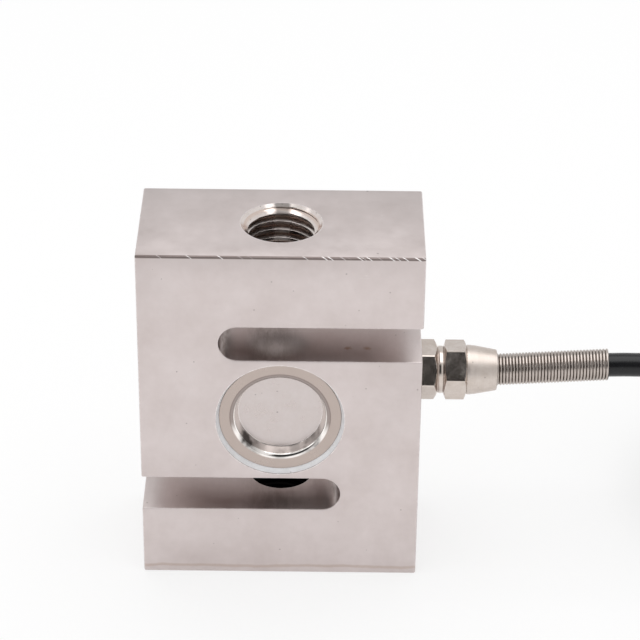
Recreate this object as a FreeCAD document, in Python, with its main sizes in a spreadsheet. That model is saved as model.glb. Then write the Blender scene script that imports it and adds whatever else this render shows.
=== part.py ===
"""S type load cell: a slotted steel block with strain gauges on its middle web, two sealed covers and a glanded cable.

Millimetres. +X points to the cable, +Y to the rear cover and +Z up the load axis. The origin is the middle of the
block's bottom face, where the load axis leaves it.
"""

import FreeCAD
import Part
import Sketcher

import math
import os

# Each driving size is written once here, and becomes a cell of the document's spreadsheet.
SIZES = [
    # The block
    ("block_width", 60.0, "block, along X"),
    ("block_depth", 30.0, "block, along Y"),
    ("block_height", 80.0, "block, along Z"),
    ("edge_break", 0.35, "small chamfer on the block's edges"),
    ("arm_thickness", 17.0, "solid arm under and over the slots"),
    ("slot_height", 8.0, "milled slot, as wide as its cutter"),
    ("slot_reach", 13.0, "tip of a slot's round end past the load axis"),
    ("load_hole_radius", 7.0, "tap drill wall of the M16 x 2 load holes"),
    ("load_countersink", 1.65, "45 degree countersink at each load hole's mouth"),
    ("recess_radius", 13.75, "shallow seat that takes a cover"),
    ("ledge_width", 2.25, "ledge in the seat, round the gauge pocket"),
    ("web_thickness", 3.0, "shear web between the two pockets"),
    ("jumper_hole_radius", 1.5, "hole through the web for the jumpers"),
    ("jumper_hole_side", 8.2, "jumper hole from the load axis"),
    ("cable_rise", 4.05, "cable hole above the block's middle"),
    ("gland_tap_radius", 3.5, "tap drill wall of the cable hole"),
    ("gland_tap_depth", 8.0, "tapped length of the cable hole"),
    ("passage_radius", 3.0, "drilled passage on to the pockets"),
    ("passage_end", 8.5, "passage's blind end from the load axis"),
    # Covers and sealant
    ("cover_drop", 1.0, "cover flange below the block's face"),
    ("cover_thickness", 0.5, "cover sheet"),
    ("cover_gap", 0.88, "sealant between flange and seat wall"),
    ("cup_clearance", 1.0, "mouth of the cover's cup inside the pocket's wall"),
    ("cup_depth", 2.6, "cover's cup below its flange"),
    ("cup_taper", 1.3, "cover cup's wall runs in by this much"),
    ("cup_bend", 0.35, "inside bend of the cover's sheet"),
    ("bead_drop", 0.82, "top of the sealant bead below the face"),
    ("bead_round", 0.3, "rounding of the sealant bead"),
    # Gauges and boards
    ("gauge_width", 9.0, "gauge backing, along X"),
    ("gauge_height", 6.4, "gauge backing, along Z"),
    ("backing_thickness", 0.12, "gauge backing"),
    ("foil_thickness", 0.05, "gauge foil"),
    ("strand_width", 0.22, "width of a foil strand and of the gap beside it"),
    ("strand_length", 2.4, "length of a foil strand"),
    ("grid_offset", 2.1, "middle of each grid from the load axis"),
    ("board_thickness", 0.8, "both circuit boards"),
    ("trim_board_width", 10.4, "trim board, along X"),
    ("trim_board_height", 4.4, "trim board, along Z"),
    ("trim_board_rise", 7.1, "trim board's middle above the block's middle"),
    ("terminal_board_width", 8.0, "terminal board, along X"),
    ("terminal_board_height", 2.6, "terminal board, along Z"),
    ("terminal_board_rise", 6.2, "terminal board's middle above the block's middle"),
    ("pad_width", 1.5, "solder pad, along X"),
    ("pad_height", 1.0, "solder pad, along Z"),
    ("pad_thickness", 0.05, "solder pad"),
    ("pad_pitch", 2.6, "solder pads, centre to centre"),
    ("pad_row_pitch", 2.6, "the trim board's two rows of pads"),
    ("resistor_length", 1.6, "trim resistor"),
    ("resistor_width", 0.8, "trim resistor"),
    ("resistor_height", 0.5, "trim resistor"),
    ("core_radius", 0.4, "insulated core of the cable"),
    ("core_pitch", 1.05, "cores side by side in the passage"),
    ("core_spread", 0.7, "each core's middle from the cable's, both ways"),
    ("core_web_gap", 0.1, "cores clear of the web's face"),
    ("core_straight", 0.5, "cores stay straight to this far before the tapped hole's floor"),
    ("core_turn", 0.9, "cores turn out of the passage this far before its end"),
    ("core_climb", 2.0, "along X, while the cores climb to their arch"),
    ("core_arch", 1.85, "cores' arch above the pads"),
    ("jumper_radius", 0.3, "insulated jumper between the pockets"),
    ("jumper_pitch", 0.7, "jumpers side by side in their hole"),
    ("jumper_stagger", 0.5, "each jumper above the next in their hole"),
    ("jumper_arch", 1.05, "jumpers' arch above the pads"),
    ("lead_radius", 0.15, "fine lead from gauge to board"),
    ("lead_arch", 0.5, "fine leads' arch above the pads"),
    ("joint_offset", 0.4, "a soldered wire from its pad's middle"),
    # Gland, seal and spring
    ("hex_across_flats", 11.5, "both gland hexagons"),
    ("body_hex_length", 3.9, "gland body's hexagon"),
    ("body_hex_turn", 27.0, "turn of the gland body about its axis, degrees"),
    ("hex_corner_break", 0.9, "turned chamfer on the body hexagon's corners, along the axis"),
    ("hex_end_radius", 5.3, "where those chamfers end on a hexagon's end face"),
    ("neck_radius", 5.2, "round neck between the hexagons"),
    ("neck_length", 1.3, "round neck between the hexagons"),
    ("barrel_radius", 4.4, "gland body's barrel inside the nut"),
    ("barrel_length", 4.2, "gland body's barrel inside the nut"),
    ("shank_clearance", 0.02, "radial, shank in block and barrel in nut"),
    ("grommet_radius", 3.7, "rubber grommet"),
    ("grommet_length", 4.8, "rubber grommet"),
    ("grommet_proud", 0.2, "grommet past the end of the barrel"),
    ("washer_thickness", 0.6, "ring between grommet and nut"),
    ("nut_hex_length", 5.0, "gland nut's hexagon"),
    ("nut_hex_turn", 39.7, "turn of the gland nut about its axis, degrees"),
    ("nut_corner_break", 0.6, "turned chamfers on the nut hexagon's corners, along the axis"),
    ("collar_radius", 5.4, "round collar of the nut"),
    ("collar_length", 1.2, "round collar of the nut"),
    ("nose_length", 5.4, "tapered nose of the nut"),
    ("nose_end_radius", 4.43, "small end of the nose"),
    ("spring_seat_depth", 1.6, "spring's seat in the nose"),
    ("spring_clearance", 0.15, "radial, spring in its seat"),
    ("spring_radius", 3.5, "spring, outside"),
    ("spring_wire", 0.66, "spring wire diameter"),
    ("spring_pitch", 0.7, "spring, turn to turn"),
    ("spring_length", 26.2, "spring, from its seat to its free end"),
    ("spring_lift", 3.8, "rise of spring and cable, degrees"),
    # Cable
    ("cable_diameter", 5.2, "round jacket"),
    ("cable_clearance", 0.2, "radial, cable in the gland"),
    ("jacket_end", 3.0, "where the jacket ends, inside the block's side"),
    ("cable_ease", 0.6, "the cable turns up to the spring's line this far past the nut"),
    ("cable_clear", 10.66, "the cable turns down this far past the spring"),
    ("cable_gentlest", 230.0, "largest bend radius of the cable"),
    ("coil_distance", 120.0, "stored coil's axis from the load axis"),
    ("coil_aside", 18.8, "stored coil's axis to the rear of the load axis"),
    ("coil_inner_radius", 18.2, "stored coil, inside"),
    ("coil_column_count", 3, "turns side by side in the coil, one less in its top layer"),
    ("coil_row_count", 6, "layers of turns in the coil"),
    ("tie_width", 9.0, "strap round the coil"),
    ("tie_thickness", 0.6, "strap round the coil"),
    ("lead_wire_radius", 0.6, "stripped cores at the far end"),
    ("screen_radius", 0.65, "twisted screen at the far end"),
]

# The cable's droop, chosen by hand: each point's share of the way from where the cable turns down to where it
# meets the stored coil, along X, to the side and in height.
DROOP = [(0.29, 0.167, 0.845), (0.553, 0.472, 0.518)]
# The free tail on the floor, chosen by hand: right and rear of the coil's axis, in radii of the outermost turn.
TAIL = [(0.5, -0.866), (0.9167, -0.625), (1.2019, -0.2564), (1.298, 0.1282)]
TIE_ANGLE = 55.0
# Rounding of the coil's rims, as a share of the cable's radius.
COIL_ROUNDING = 0.98

doc = FreeCAD.newDocument("load_cell")
nodes = []


class Size:
    """A number, with the spreadsheet expression that gives it."""

    def __init__(self, number, text):
        self.number = number
        self.text = text

    def __add__(self, other):
        other = as_size(other)
        return Size(self.number + other.number, f"({self.text} + {other.text})")

    def __radd__(self, other):
        return as_size(other) + self

    def __sub__(self, other):
        return self + -as_size(other)

    def __rsub__(self, other):
        return as_size(other) - self

    def __mul__(self, other):
        other = as_size(other)
        return Size(self.number * other.number, f"({self.text} * {other.text})")

    def __rmul__(self, other):
        return as_size(other) * self

    def __truediv__(self, other):
        other = as_size(other)
        return Size(self.number / other.number, f"({self.text} / {other.text})")

    def __neg__(self):
        return Size(-self.number, f"(-1 * {self.text})")

    def root(self):
        """The square root."""
        return Size(math.sqrt(self.number), f"sqrt({self.text})")


def as_size(value):
    """A plain number as a Size; a Size stays as it is."""
    return value if isinstance(value, Size) else Size(float(value), f"({float(value)})")


def make_sheet():
    """Writes the driving sizes into a spreadsheet and gives them back by name."""
    sheet = doc.addObject("Spreadsheet::Sheet", "Sizes")
    for row, (alias, number, meaning) in enumerate(SIZES, start=1):
        sheet.set(f"A{row}", alias)
        sheet.set(f"B{row}", str(number))
        sheet.setAlias(f"B{row}", alias)
        sheet.set(f"C{row}", meaning)
    doc.recompute()
    return {alias: Size(float(sheet.get(alias)), f"Sizes.{alias}") for alias, number, meaning in SIZES}


SIZE = make_sheet()
NUMBER = {alias: value.number for alias, value in SIZE.items()}

# Places that several pieces share.
HALF_WIDTH = SIZE["block_width"] / 2
HALF_DEPTH = SIZE["block_depth"] / 2
MIDDLE = SIZE["block_height"] / 2
CABLE_HEIGHT = MIDDLE + SIZE["cable_rise"]
WEB_FACE = SIZE["web_thickness"] / 2
LEDGE_DEPTH = SIZE["cover_drop"] + SIZE["cover_thickness"]
FLANGE_RADIUS = SIZE["recess_radius"] - SIZE["cover_gap"]
POCKET_RADIUS = SIZE["recess_radius"] - SIZE["ledge_width"]
CABLE_RADIUS = SIZE["cable_diameter"] / 2
GLAND_BORE = CABLE_RADIUS + SIZE["cable_clearance"]
HEX_CORNER = SIZE["hex_across_flats"] / math.sqrt(3)
# Along the gland's axis, from the block's side.
NECK_END = SIZE["body_hex_length"] + SIZE["neck_length"]
BARREL_END = NECK_END + SIZE["barrel_length"]
WASHER_START = BARREL_END + SIZE["grommet_proud"]
NUT_SHOULDER = WASHER_START + SIZE["washer_thickness"]
NUT_HEX_END = NECK_END + SIZE["nut_hex_length"]
COLLAR_END = NUT_HEX_END + SIZE["collar_length"]
NOSE_END = COLLAR_END + SIZE["nose_length"]
SPRING_SEAT = NOSE_END - SIZE["spring_seat_depth"]


# Building blocks


def bind(feature, name, size):
    """Ties a feature's property to the spreadsheet."""
    feature.setExpression(name, as_size(size).text)


def place(feature, x=0, y=0, z=0):
    """Ties a feature's place to the spreadsheet."""
    for axis, size in zip("xyz", (x, y, z)):
        bind(feature, f"Placement.Base.{axis}", size)


def turn(feature, axis, degrees):
    """Turns a feature about one of its own axes."""
    feature.Placement = FreeCAD.Placement(FreeCAD.Vector(), FreeCAD.Rotation(FreeCAD.Vector(*axis), 0))
    bind(feature, "Placement.Rotation.Angle", degrees)


def keep(feature, label):
    """Names a finished sub-part."""
    feature.Label = label
    nodes.append(feature)
    return feature


def new_body(label):
    """An empty PartDesign body that becomes the sub-part of this name."""
    return keep(doc.addObject("PartDesign::Body", label), label)


def hold(sketch, edge, end, kind, size):
    """Holds one coordinate of a sketch's vertex at a size."""
    if size.number == 0:
        axis = -2 if kind == "DistanceX" else -1
        sketch.addConstraint(Sketcher.Constraint("PointOnObject", edge, end, axis))
        return
    number = sketch.addConstraint(Sketcher.Constraint(kind, -1, 1, edge, end, size.number))
    name = f"hold{number}"
    sketch.renameConstraint(number, name)
    bind(sketch, f"Constraints.{name}", size)


def outline(body, role, name, corners, half_rounds=(), origin=(0, 0, 0)):
    """A closed sketch through the corners, on an origin plane of the body.

    The edge after each corner numbered in half_rounds is a half circle that bulges to the edge's left. origin moves
    the sketch's own origin in its plane, and off it by its third number.
    """
    sketch = body.newObject("Sketcher::SketchObject", name)
    flat = next(feature for feature in body.Origin.OriginFeatures if feature.Role == role)
    sketch.AttachmentSupport = (flat, [""])
    sketch.MapMode = "FlatFace"
    for axis, size in zip("xyz", origin):
        bind(sketch, f"AttachmentOffset.Base.{axis}", size)
    corners = [(as_size(x), as_size(y)) for x, y in corners]
    points = [FreeCAD.Vector(x.number, y.number, 0) for x, y in corners]
    ends = []
    for edge, start in enumerate(points):
        stop = points[(edge + 1) % len(points)]
        if edge in half_rounds:
            chord = stop - start
            bulge = FreeCAD.Vector(-chord.y, chord.x, 0) * 0.5
            sketch.addGeometry(Part.Arc(start, (start + stop) * 0.5 + bulge, stop))
        else:
            sketch.addGeometry(Part.LineSegment(start, stop))
        ends.append((1, 2) if sketch.getPoint(edge, 1).isEqual(start, 1e-6) else (2, 1))
    for edge, (first, last) in enumerate(ends):
        following = (edge + 1) % len(points)
        joint = Sketcher.Constraint("Coincident", edge, last, following, ends[following][0])
        sketch.addConstraint(joint)
    for edge, (x, y) in enumerate(corners):
        hold(sketch, edge, ends[edge][0], "DistanceX", x)
        hold(sketch, edge, ends[edge][0], "DistanceY", y)
        if edge in half_rounds:
            hold(sketch, edge, 3, "DistanceX", x)
    return sketch


def rectangle(left, low, right, high):
    """The corners of an upright rectangle."""
    return [(left, low), (right, low), (right, high), (left, high)]


def pad(body, sketch, length, symmetric=False):
    """Extrudes a sketch along its normal."""
    feature = body.newObject("PartDesign::Pad", "Pad")
    feature.Profile = sketch
    feature.SideType = "Symmetric" if symmetric else "One side"
    bind(feature, "Length", length)
    return feature


def revolve(body, sketch, axis, cut=False):
    """Turns a sketch a full turn about its own H or V axis, adding metal or cutting it away."""
    kind = "Groove" if cut else "Revolution"
    feature = body.newObject(f"PartDesign::{kind}", kind)
    feature.Profile = sketch
    feature.ReferenceAxis = (sketch, [axis])
    feature.Angle = 360
    return feature


def dress(body, kind, base, chosen, size):
    """A Chamfer or Fillet on the edges of base for which chosen(edge) is true."""
    doc.recompute()
    names = [f"Edge{i}" for i, edge in enumerate(base.Shape.Edges, start=1) if chosen(edge)]
    feature = body.newObject(f"PartDesign::{kind}", kind)
    feature.Base = (base, names)
    bind(feature, "Size" if kind == "Chamfer" else "Radius", size)
    return feature


def box(name, length, width, height, x, y, z):
    """A Part box centred on x, y and z."""
    feature = doc.addObject("Part::Box", name)
    for side, size in (("Length", length), ("Width", width), ("Height", height)):
        bind(feature, side, size)
    place(feature, x - as_size(length) / 2, y - as_size(width) / 2, z - as_size(height) / 2)
    return feature


def group(label, members):
    """Like pieces that share one node, each a solid of its own."""
    feature = doc.addObject("Part::Compound", label)
    feature.Links = members
    return keep(feature, label)


def shape_node(label, shape, x=0.0, y=0.0, z=0.0):
    """A sub-part whose shape is set by code, and then put in its place."""
    feature = doc.addObject("Part::Feature", label)
    feature.Shape = shape
    feature.Placement = FreeCAD.Placement(FreeCAD.Vector(x, y, z), FreeCAD.Rotation())
    return keep(feature, label)


def rounded_path(points, largest=math.inf):
    """A wire of straight runs joined by tangent arcs, and the arcs' radii.

    Each arc is as large as its two runs allow, up to the largest radius.
    """
    points = [FreeCAD.Vector(*point) for point in points]
    edges = []
    radii = []
    start = points[0]
    for before, corner, after in zip(points, points[1:], points[2:]):
        arriving = corner - before
        leaving = after - corner
        half_turn = arriving.getAngle(leaving) / 2
        reach = min(0.45 * min(arriving.Length, leaving.Length), largest * math.tan(half_turn))
        radius = reach / math.tan(half_turn)
        radii.append(radius)
        first = corner - arriving.normalize() * reach
        last = corner + leaving.normalize() * reach
        inward = (first + last) * 0.5 - corner
        middle = corner + inward.normalize() * (radius / math.cos(half_turn) - radius)
        edges.append(Part.LineSegment(start, first).toShape())
        edges.append(Part.Arc(first, middle, last).toShape())
        start = last
    edges.append(Part.LineSegment(start, points[-1]).toShape())
    return Part.Wire(edges), radii


def tube(points, radius, largest=math.inf):
    """A round bar along a rounded path, with the path and its radii."""
    path, radii = rounded_path(points, largest)
    start = FreeCAD.Vector(*points[0])
    heading = FreeCAD.Vector(*points[1]) - start
    section = Part.Wire(Part.makeCircle(radius, start, heading))
    return path.makePipeShell([section], True, False), path, radii


# The block


def make_block():
    """The spring element: an S cut from one bar, with its load holes, gauge recesses and cable hole."""
    body = new_body("s_block")
    low_slot = SIZE["arm_thickness"]
    high_slot = SIZE["block_height"] - SIZE["arm_thickness"] - SIZE["slot_height"]
    reach = SIZE["slot_reach"] - SIZE["slot_height"] / 2
    corners = [
        (-HALF_WIDTH, 0),
        (HALF_WIDTH, 0),
        (HALF_WIDTH, high_slot),
        (-reach, high_slot),
        (-reach, high_slot + SIZE["slot_height"]),
        (HALF_WIDTH, high_slot + SIZE["slot_height"]),
        (HALF_WIDTH, SIZE["block_height"]),
        (-HALF_WIDTH, SIZE["block_height"]),
        (-HALF_WIDTH, low_slot + SIZE["slot_height"]),
        (reach, low_slot + SIZE["slot_height"]),
        (reach, low_slot),
        (-HALF_WIDTH, low_slot),
    ]
    outside = outline(body, "XZ_Plane", "s_outline", corners, half_rounds=(3, 9))
    bar = pad(body, outside, SIZE["block_depth"], symmetric=True)
    half_width, half_depth = HALF_WIDTH.number, HALF_DEPTH.number

    def outer_edge(edge):
        """True for the S outline on both faces and for the bar's square corners along Y."""
        middle = edge.CenterOfMass
        along_face = abs(abs(middle.y) - half_depth) < 1e-6
        at_side = abs(abs(middle.x) - half_width) < 1e-6
        return along_face or at_side

    dress(body, "Chamfer", bar, outer_edge, SIZE["edge_break"])
    cut_load_holes(body)
    cut_recesses(body)
    cut_cable_hole(body)
    hole = outline_circle(body, "XZ_Plane", -SIZE["jumper_hole_side"], MIDDLE, SIZE["jumper_hole_radius"])
    pocket = body.newObject("PartDesign::Pocket", "JumperHole")
    pocket.Profile = hole
    pocket.SideType = "Symmetric"
    bind(pocket, "Length", SIZE["web_thickness"] * 2)


def outline_circle(body, role, x, y, radius):
    """A sketch of one circle."""
    sketch = body.newObject("Sketcher::SketchObject", "circle")
    flat = next(feature for feature in body.Origin.OriginFeatures if feature.Role == role)
    sketch.AttachmentSupport = (flat, [""])
    sketch.MapMode = "FlatFace"
    middle = FreeCAD.Vector(x.number, y.number, 0)
    sketch.addGeometry(Part.Circle(middle, FreeCAD.Vector(0, 0, 1), radius.number))
    hold(sketch, 0, 3, "DistanceX", x)
    hold(sketch, 0, 3, "DistanceY", y)
    number = sketch.addConstraint(Sketcher.Constraint("Radius", 0, radius.number))
    sketch.renameConstraint(number, "radius")
    bind(sketch, "Constraints.radius", radius)
    return sketch


def cut_load_holes(body):
    """The two countersunk load holes, each through its arm into the slot beyond."""
    wall = SIZE["load_hole_radius"]
    sink = SIZE["load_countersink"]
    through = SIZE["arm_thickness"] + SIZE["slot_height"] / 2
    top = SIZE["block_height"]
    lower = [(0, 0), (wall + sink, 0), (wall, sink), (wall, through), (0, through)]
    upper = [(0, top - through), (wall, top - through), (wall, top - sink), (wall + sink, top), (0, top)]
    for name, corners in (("lower_hole", lower), ("upper_hole", upper)):
        revolve(body, outline(body, "XZ_Plane", name, corners), "V_Axis", cut=True)


def cut_recesses(body):
    """The front and rear recesses: a shallow seat for the cover, then the gauge pocket down to the web."""
    seat = SIZE["recess_radius"]
    pocket = POCKET_RADIUS
    ledge = HALF_DEPTH - LEDGE_DEPTH
    for name, side in (("front_recess", -1), ("rear_recess", 1)):
        corners = [
            (WEB_FACE * side, 0),
            (HALF_DEPTH * side, 0),
            (HALF_DEPTH * side, seat),
            (ledge * side, seat),
            (ledge * side, pocket),
            (WEB_FACE * side, pocket),
        ]
        sketch = outline(body, "YZ_Plane", name, corners, origin=(0, MIDDLE, 0))
        revolve(body, sketch, "H_Axis", cut=True)


def cut_cable_hole(body):
    """The tapped hole in the block's side and the passage that opens into both pockets beside the web."""
    tapped = HALF_WIDTH - SIZE["gland_tap_depth"]
    corners = [
        (SIZE["passage_end"], 0),
        (HALF_WIDTH, 0),
        (HALF_WIDTH, SIZE["gland_tap_radius"]),
        (tapped, SIZE["gland_tap_radius"]),
        (tapped, SIZE["passage_radius"]),
        (SIZE["passage_end"], SIZE["passage_radius"]),
    ]
    sketch = outline(body, "XZ_Plane", "cable_hole", corners, origin=(0, CABLE_HEIGHT, 0))
    revolve(body, sketch, "H_Axis", cut=True)


# Covers and sealant


def make_cover(label, facing):
    """A pressed cover: a flange on the seat and a shallow cup that dips into the pocket.

    It is drawn for the rear face. facing is its turn about the load axis, in degrees.
    """
    body = new_body(label)
    thickness = SIZE["cover_thickness"]
    lip = POCKET_RADIUS - SIZE["cup_clearance"]
    flange = HALF_DEPTH - SIZE["cover_drop"]
    floor = flange - SIZE["cup_depth"]
    slope = SIZE["cup_taper"] / SIZE["cup_depth"]
    sideways = thickness * (slope * slope + 1).root()
    corners = [
        (floor, 0),
        (floor, lip - SIZE["cup_taper"]),
        (flange, lip),
        (flange, FLANGE_RADIUS),
        (flange - thickness, FLANGE_RADIUS),
        (flange - thickness, lip + sideways - slope * thickness),
        (floor - thickness, lip + sideways - SIZE["cup_taper"] - slope * thickness),
        (floor - thickness, 0),
    ]
    profile = outline(body, "YZ_Plane", "cover_profile", corners)
    cup = revolve(body, profile, "H_Axis")
    face = FLANGE_RADIUS.number

    def inner_bend(edge):
        """True for the bends on the sheet's inside of the curve."""
        radius = getattr(edge.Curve, "Radius", face)
        at_cup_floor = abs(edge.CenterOfMass.y - floor.number) < 1e-6
        under_flange = abs(edge.CenterOfMass.y - (flange - thickness).number) < 1e-6
        return radius < face - 1e-6 and (at_cup_floor or under_flange)

    def outer_bend(edge):
        """True for the bends on the sheet's outside of the curve."""
        radius = getattr(edge.Curve, "Radius", face)
        at_flange = abs(edge.CenterOfMass.y - flange.number) < 1e-6
        under_floor = abs(edge.CenterOfMass.y - (floor - thickness).number) < 1e-6
        return radius < face - 1e-6 and (at_flange or under_floor)

    inner = dress(body, "Fillet", cup, inner_bend, SIZE["cup_bend"])
    dress(body, "Fillet", inner, outer_bend, SIZE["cup_bend"] + thickness)
    turn(body, (0, 0, 1), facing)
    place(body, z=MIDDLE)


def make_sealant(label, facing):
    """The bead that fills the gap between a cover's flange and the wall of its seat."""
    body = new_body(label)
    bottom = HALF_DEPTH - LEDGE_DEPTH
    top = HALF_DEPTH - SIZE["bead_drop"]
    corners = rectangle(bottom, FLANGE_RADIUS, top, SIZE["recess_radius"])
    bead = revolve(body, outline(body, "YZ_Plane", "bead_profile", corners), "H_Axis")

    def at_top(edge):
        """True for both edges of the bead's outer face."""
        return abs(edge.CenterOfMass.y - top.number) < 1e-6

    dress(body, "Fillet", bead, at_top, SIZE["bead_round"])
    turn(body, (0, 0, 1), facing)
    place(body, z=MIDDLE)


# Gauges, boards and inner wiring


def make_backing(label, side):
    """The film that carries a gauge, bonded to the web."""
    face = WEB_FACE + SIZE["backing_thickness"] / 2
    backing = box(
        label, SIZE["gauge_width"], SIZE["backing_thickness"], SIZE["gauge_height"], 0, face * side, MIDDLE
    )
    keep(backing, label)


def grid_face(middle_x, lean):
    """One serpentine grid of foil, flat in XZ, leaning 45 degrees one way or the other."""
    width = NUMBER["strand_width"]
    length = NUMBER["strand_length"]
    strands = max(3, 2 * round(length / (4 * width)) - 1)
    pitch = 2 * width
    low = -(strands - 1) * pitch / 2
    faces = []
    for count in range(strands):
        across = low + count * pitch
        faces.append(Part.makePlane(width, length, FreeCAD.Vector(across - width / 2, -length / 2, 0)))
        if count < strands - 1:
            height = length / 2 - width if count % 2 == 0 else -length / 2
            faces.append(Part.makePlane(pitch, width, FreeCAD.Vector(across, height, 0)))
    face = faces[0].fuse(faces[1:]).removeSplitter()
    face.rotate(FreeCAD.Vector(), FreeCAD.Vector(0, 0, 1), 45 * lean)
    face.rotate(FreeCAD.Vector(), FreeCAD.Vector(1, 0, 0), 90)
    face.translate(FreeCAD.Vector(middle_x, 0, 0))
    return face


def tab_places():
    """Where a gauge's three solder tabs are, from the load axis and the block's middle."""
    edge = NUMBER["gauge_height"] / 2 - NUMBER["strand_width"] * 2
    return [(place_x, edge) for place_x in (-NUMBER["grid_offset"], 0.0, NUMBER["grid_offset"])]


def make_foil(label, side):
    """Two shear grids with their solder tabs, etched from one foil."""
    thickness = NUMBER["foil_thickness"]
    surface = (WEB_FACE + SIZE["backing_thickness"]).number
    tab_width, tab_height = 3 * NUMBER["strand_width"], 2 * NUMBER["strand_width"]
    solids = []
    for lean in (-1, 1):
        grid = grid_face(lean * NUMBER["grid_offset"], lean)
        solids.append(grid.extrude(FreeCAD.Vector(0, thickness, 0)))
    tabs = []
    for x, z in tab_places():
        corner = FreeCAD.Vector(x - tab_width / 2, 0, z - tab_height / 2)
        tabs.append(Part.makeBox(tab_width, thickness, tab_height, corner))
    bottom = surface if side > 0 else -surface - thickness
    shape_node(label, Part.makeCompound(solids + tabs), y=bottom, z=MIDDLE.number)


def make_board(label, board, side, rows):
    """A circuit board bonded to the web, with rows of solder pads. board is the first word of its sizes' names."""
    width, height = SIZE[f"{board}_width"], SIZE[f"{board}_height"]
    level = MIDDLE + SIZE[f"{board}_rise"]
    middle = WEB_FACE + SIZE["board_thickness"] / 2
    keep(box(label, width, SIZE["board_thickness"], height, 0, middle * side, level), label)
    surface = WEB_FACE + SIZE["board_thickness"] + SIZE["pad_thickness"] / 2
    pads = []
    for row, places in rows:
        for place_x in places:
            x = SIZE["pad_pitch"] * place_x
            z = level + SIZE["pad_row_pitch"] * row
            pad_box = box(
                "pad", SIZE["pad_width"], SIZE["pad_thickness"], SIZE["pad_height"], x, surface * side, z
            )
            pads.append(pad_box)
    group(f"{label}_pads", pads)


def make_resistors():
    """The two trim resistors between the trim board's rows of pads."""
    middle = WEB_FACE + SIZE["board_thickness"] + SIZE["resistor_height"] / 2
    level = MIDDLE + SIZE["trim_board_rise"]
    members = []
    for side in (-1, 1):
        x = SIZE["pad_pitch"] * side
        members.append(
            box(
                "resistor",
                SIZE["resistor_length"],
                SIZE["resistor_height"],
                SIZE["resistor_width"],
                x,
                middle,
                level,
            )
        )
    group("trim_resistors", members)


def wire(points, radius):
    """A fine wire, which bends as tightly as three of its radii."""
    return tube(points, radius, largest=3 * radius)[0]


def pad_surface():
    """The solder face of every pad, from the middle of the web."""
    return (WEB_FACE + SIZE["board_thickness"] + SIZE["pad_thickness"]).number


def make_cores():
    """The cable's four cores, from the jacket's end through the passage to the trim board's upper pads."""
    radius = NUMBER["core_radius"]
    start = (HALF_WIDTH - SIZE["jacket_end"]).number
    mouth = (HALF_WIDTH - SIZE["gland_tap_depth"]).number
    lane = WEB_FACE.number + radius + NUMBER["core_web_gap"]
    high = pad_surface() + NUMBER["core_arch"]
    pads = (MIDDLE + SIZE["trim_board_rise"] + SIZE["pad_row_pitch"] / 2).number
    middle = CABLE_HEIGHT.number
    spread = NUMBER["core_spread"]
    end = NUMBER["passage_end"]
    turn_out = end + NUMBER["core_turn"]
    corners = ((-spread, spread), (spread, spread), (spread, -spread), (-spread, -spread))
    for count, colour in enumerate(("red", "black", "green", "white")):
        side, rise = corners[count]
        column = middle + (1.5 - count) * NUMBER["core_pitch"]
        pad_x = (1.5 - count) * NUMBER["pad_pitch"]
        points = [
            (start, side, middle + rise),
            (mouth + NUMBER["core_straight"], side, middle + rise),
            ((mouth + end) / 2, lane, column),
            (turn_out, lane, column),
            (turn_out - NUMBER["core_climb"], high, column),
            (pad_x, high, pads),
            (pad_x, pad_surface(), pads),
        ]
        shape_node(f"core_{colour}", wire(points, radius))


def make_jumpers():
    """Three jumpers from the trim board, through the web, to the terminal board in the front pocket."""
    radius = NUMBER["jumper_radius"]
    level = pad_surface() + NUMBER["jumper_arch"]
    trim_row = (MIDDLE + SIZE["trim_board_rise"] - SIZE["pad_row_pitch"] / 2).number
    front_row = (MIDDLE + SIZE["terminal_board_rise"]).number
    beside = NUMBER["joint_offset"]
    solids = []
    for count in (-1, 0, 1):
        rear_x = NUMBER["pad_pitch"] * (count - 0.5) - beside
        front_x = NUMBER["pad_pitch"] * count - beside
        hole_x = NUMBER["jumper_pitch"] * count - NUMBER["jumper_hole_side"]
        hole_z = MIDDLE.number - NUMBER["jumper_stagger"] * count
        points = [
            (rear_x, pad_surface(), trim_row),
            (rear_x, level, trim_row),
            (hole_x, level, hole_z),
            (hole_x, -level, hole_z),
            (front_x, -level, front_row),
            (front_x, -pad_surface(), front_row),
        ]
        solids.append(wire(points, radius))
    shape_node("bridge_jumpers", Part.makeCompound(solids))


def make_gauge_leads(label, side, pads):
    """Three fine leads from a gauge's tabs to the pads, given as (x, z) from the block's middle."""
    surface = (WEB_FACE + SIZE["backing_thickness"] + SIZE["foil_thickness"]).number * side
    level = (pad_surface() + NUMBER["lead_arch"]) * side
    solids = []
    for (tab_x, tab_z), (pad_x, pad_z) in zip(tab_places(), pads):
        points = [
            (tab_x, surface, MIDDLE.number + tab_z),
            (tab_x, level, MIDDLE.number + tab_z),
            (pad_x, level, pad_z),
            (pad_x, pad_surface() * side, pad_z),
        ]
        solids.append(wire(points, NUMBER["lead_radius"]))
    shape_node(label, Part.makeCompound(solids))


def make_wiring():
    """All the wires inside the two pockets."""
    make_cores()
    make_jumpers()
    pitch = NUMBER["pad_pitch"]
    trim_row = (MIDDLE + SIZE["trim_board_rise"] - SIZE["pad_row_pitch"] / 2).number
    front_row = (MIDDLE + SIZE["terminal_board_rise"]).number
    beside = NUMBER["joint_offset"]
    make_gauge_leads("rear_gauge_leads", 1, [(pitch * (n + 0.5) + beside, trim_row) for n in (-1, 0, 1)])
    make_gauge_leads("front_gauge_leads", -1, [(pitch * n + beside, front_row) for n in (-1, 0, 1)])


# Gland and spring


def seat_on_side(body, hex_turn=None):
    """Puts a piece drawn along X on the block's side, round the cable hole."""
    if hex_turn:
        turn(body, (1, 0, 0), -hex_turn)
    place(body, x=HALF_WIDTH, z=CABLE_HEIGHT)


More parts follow.
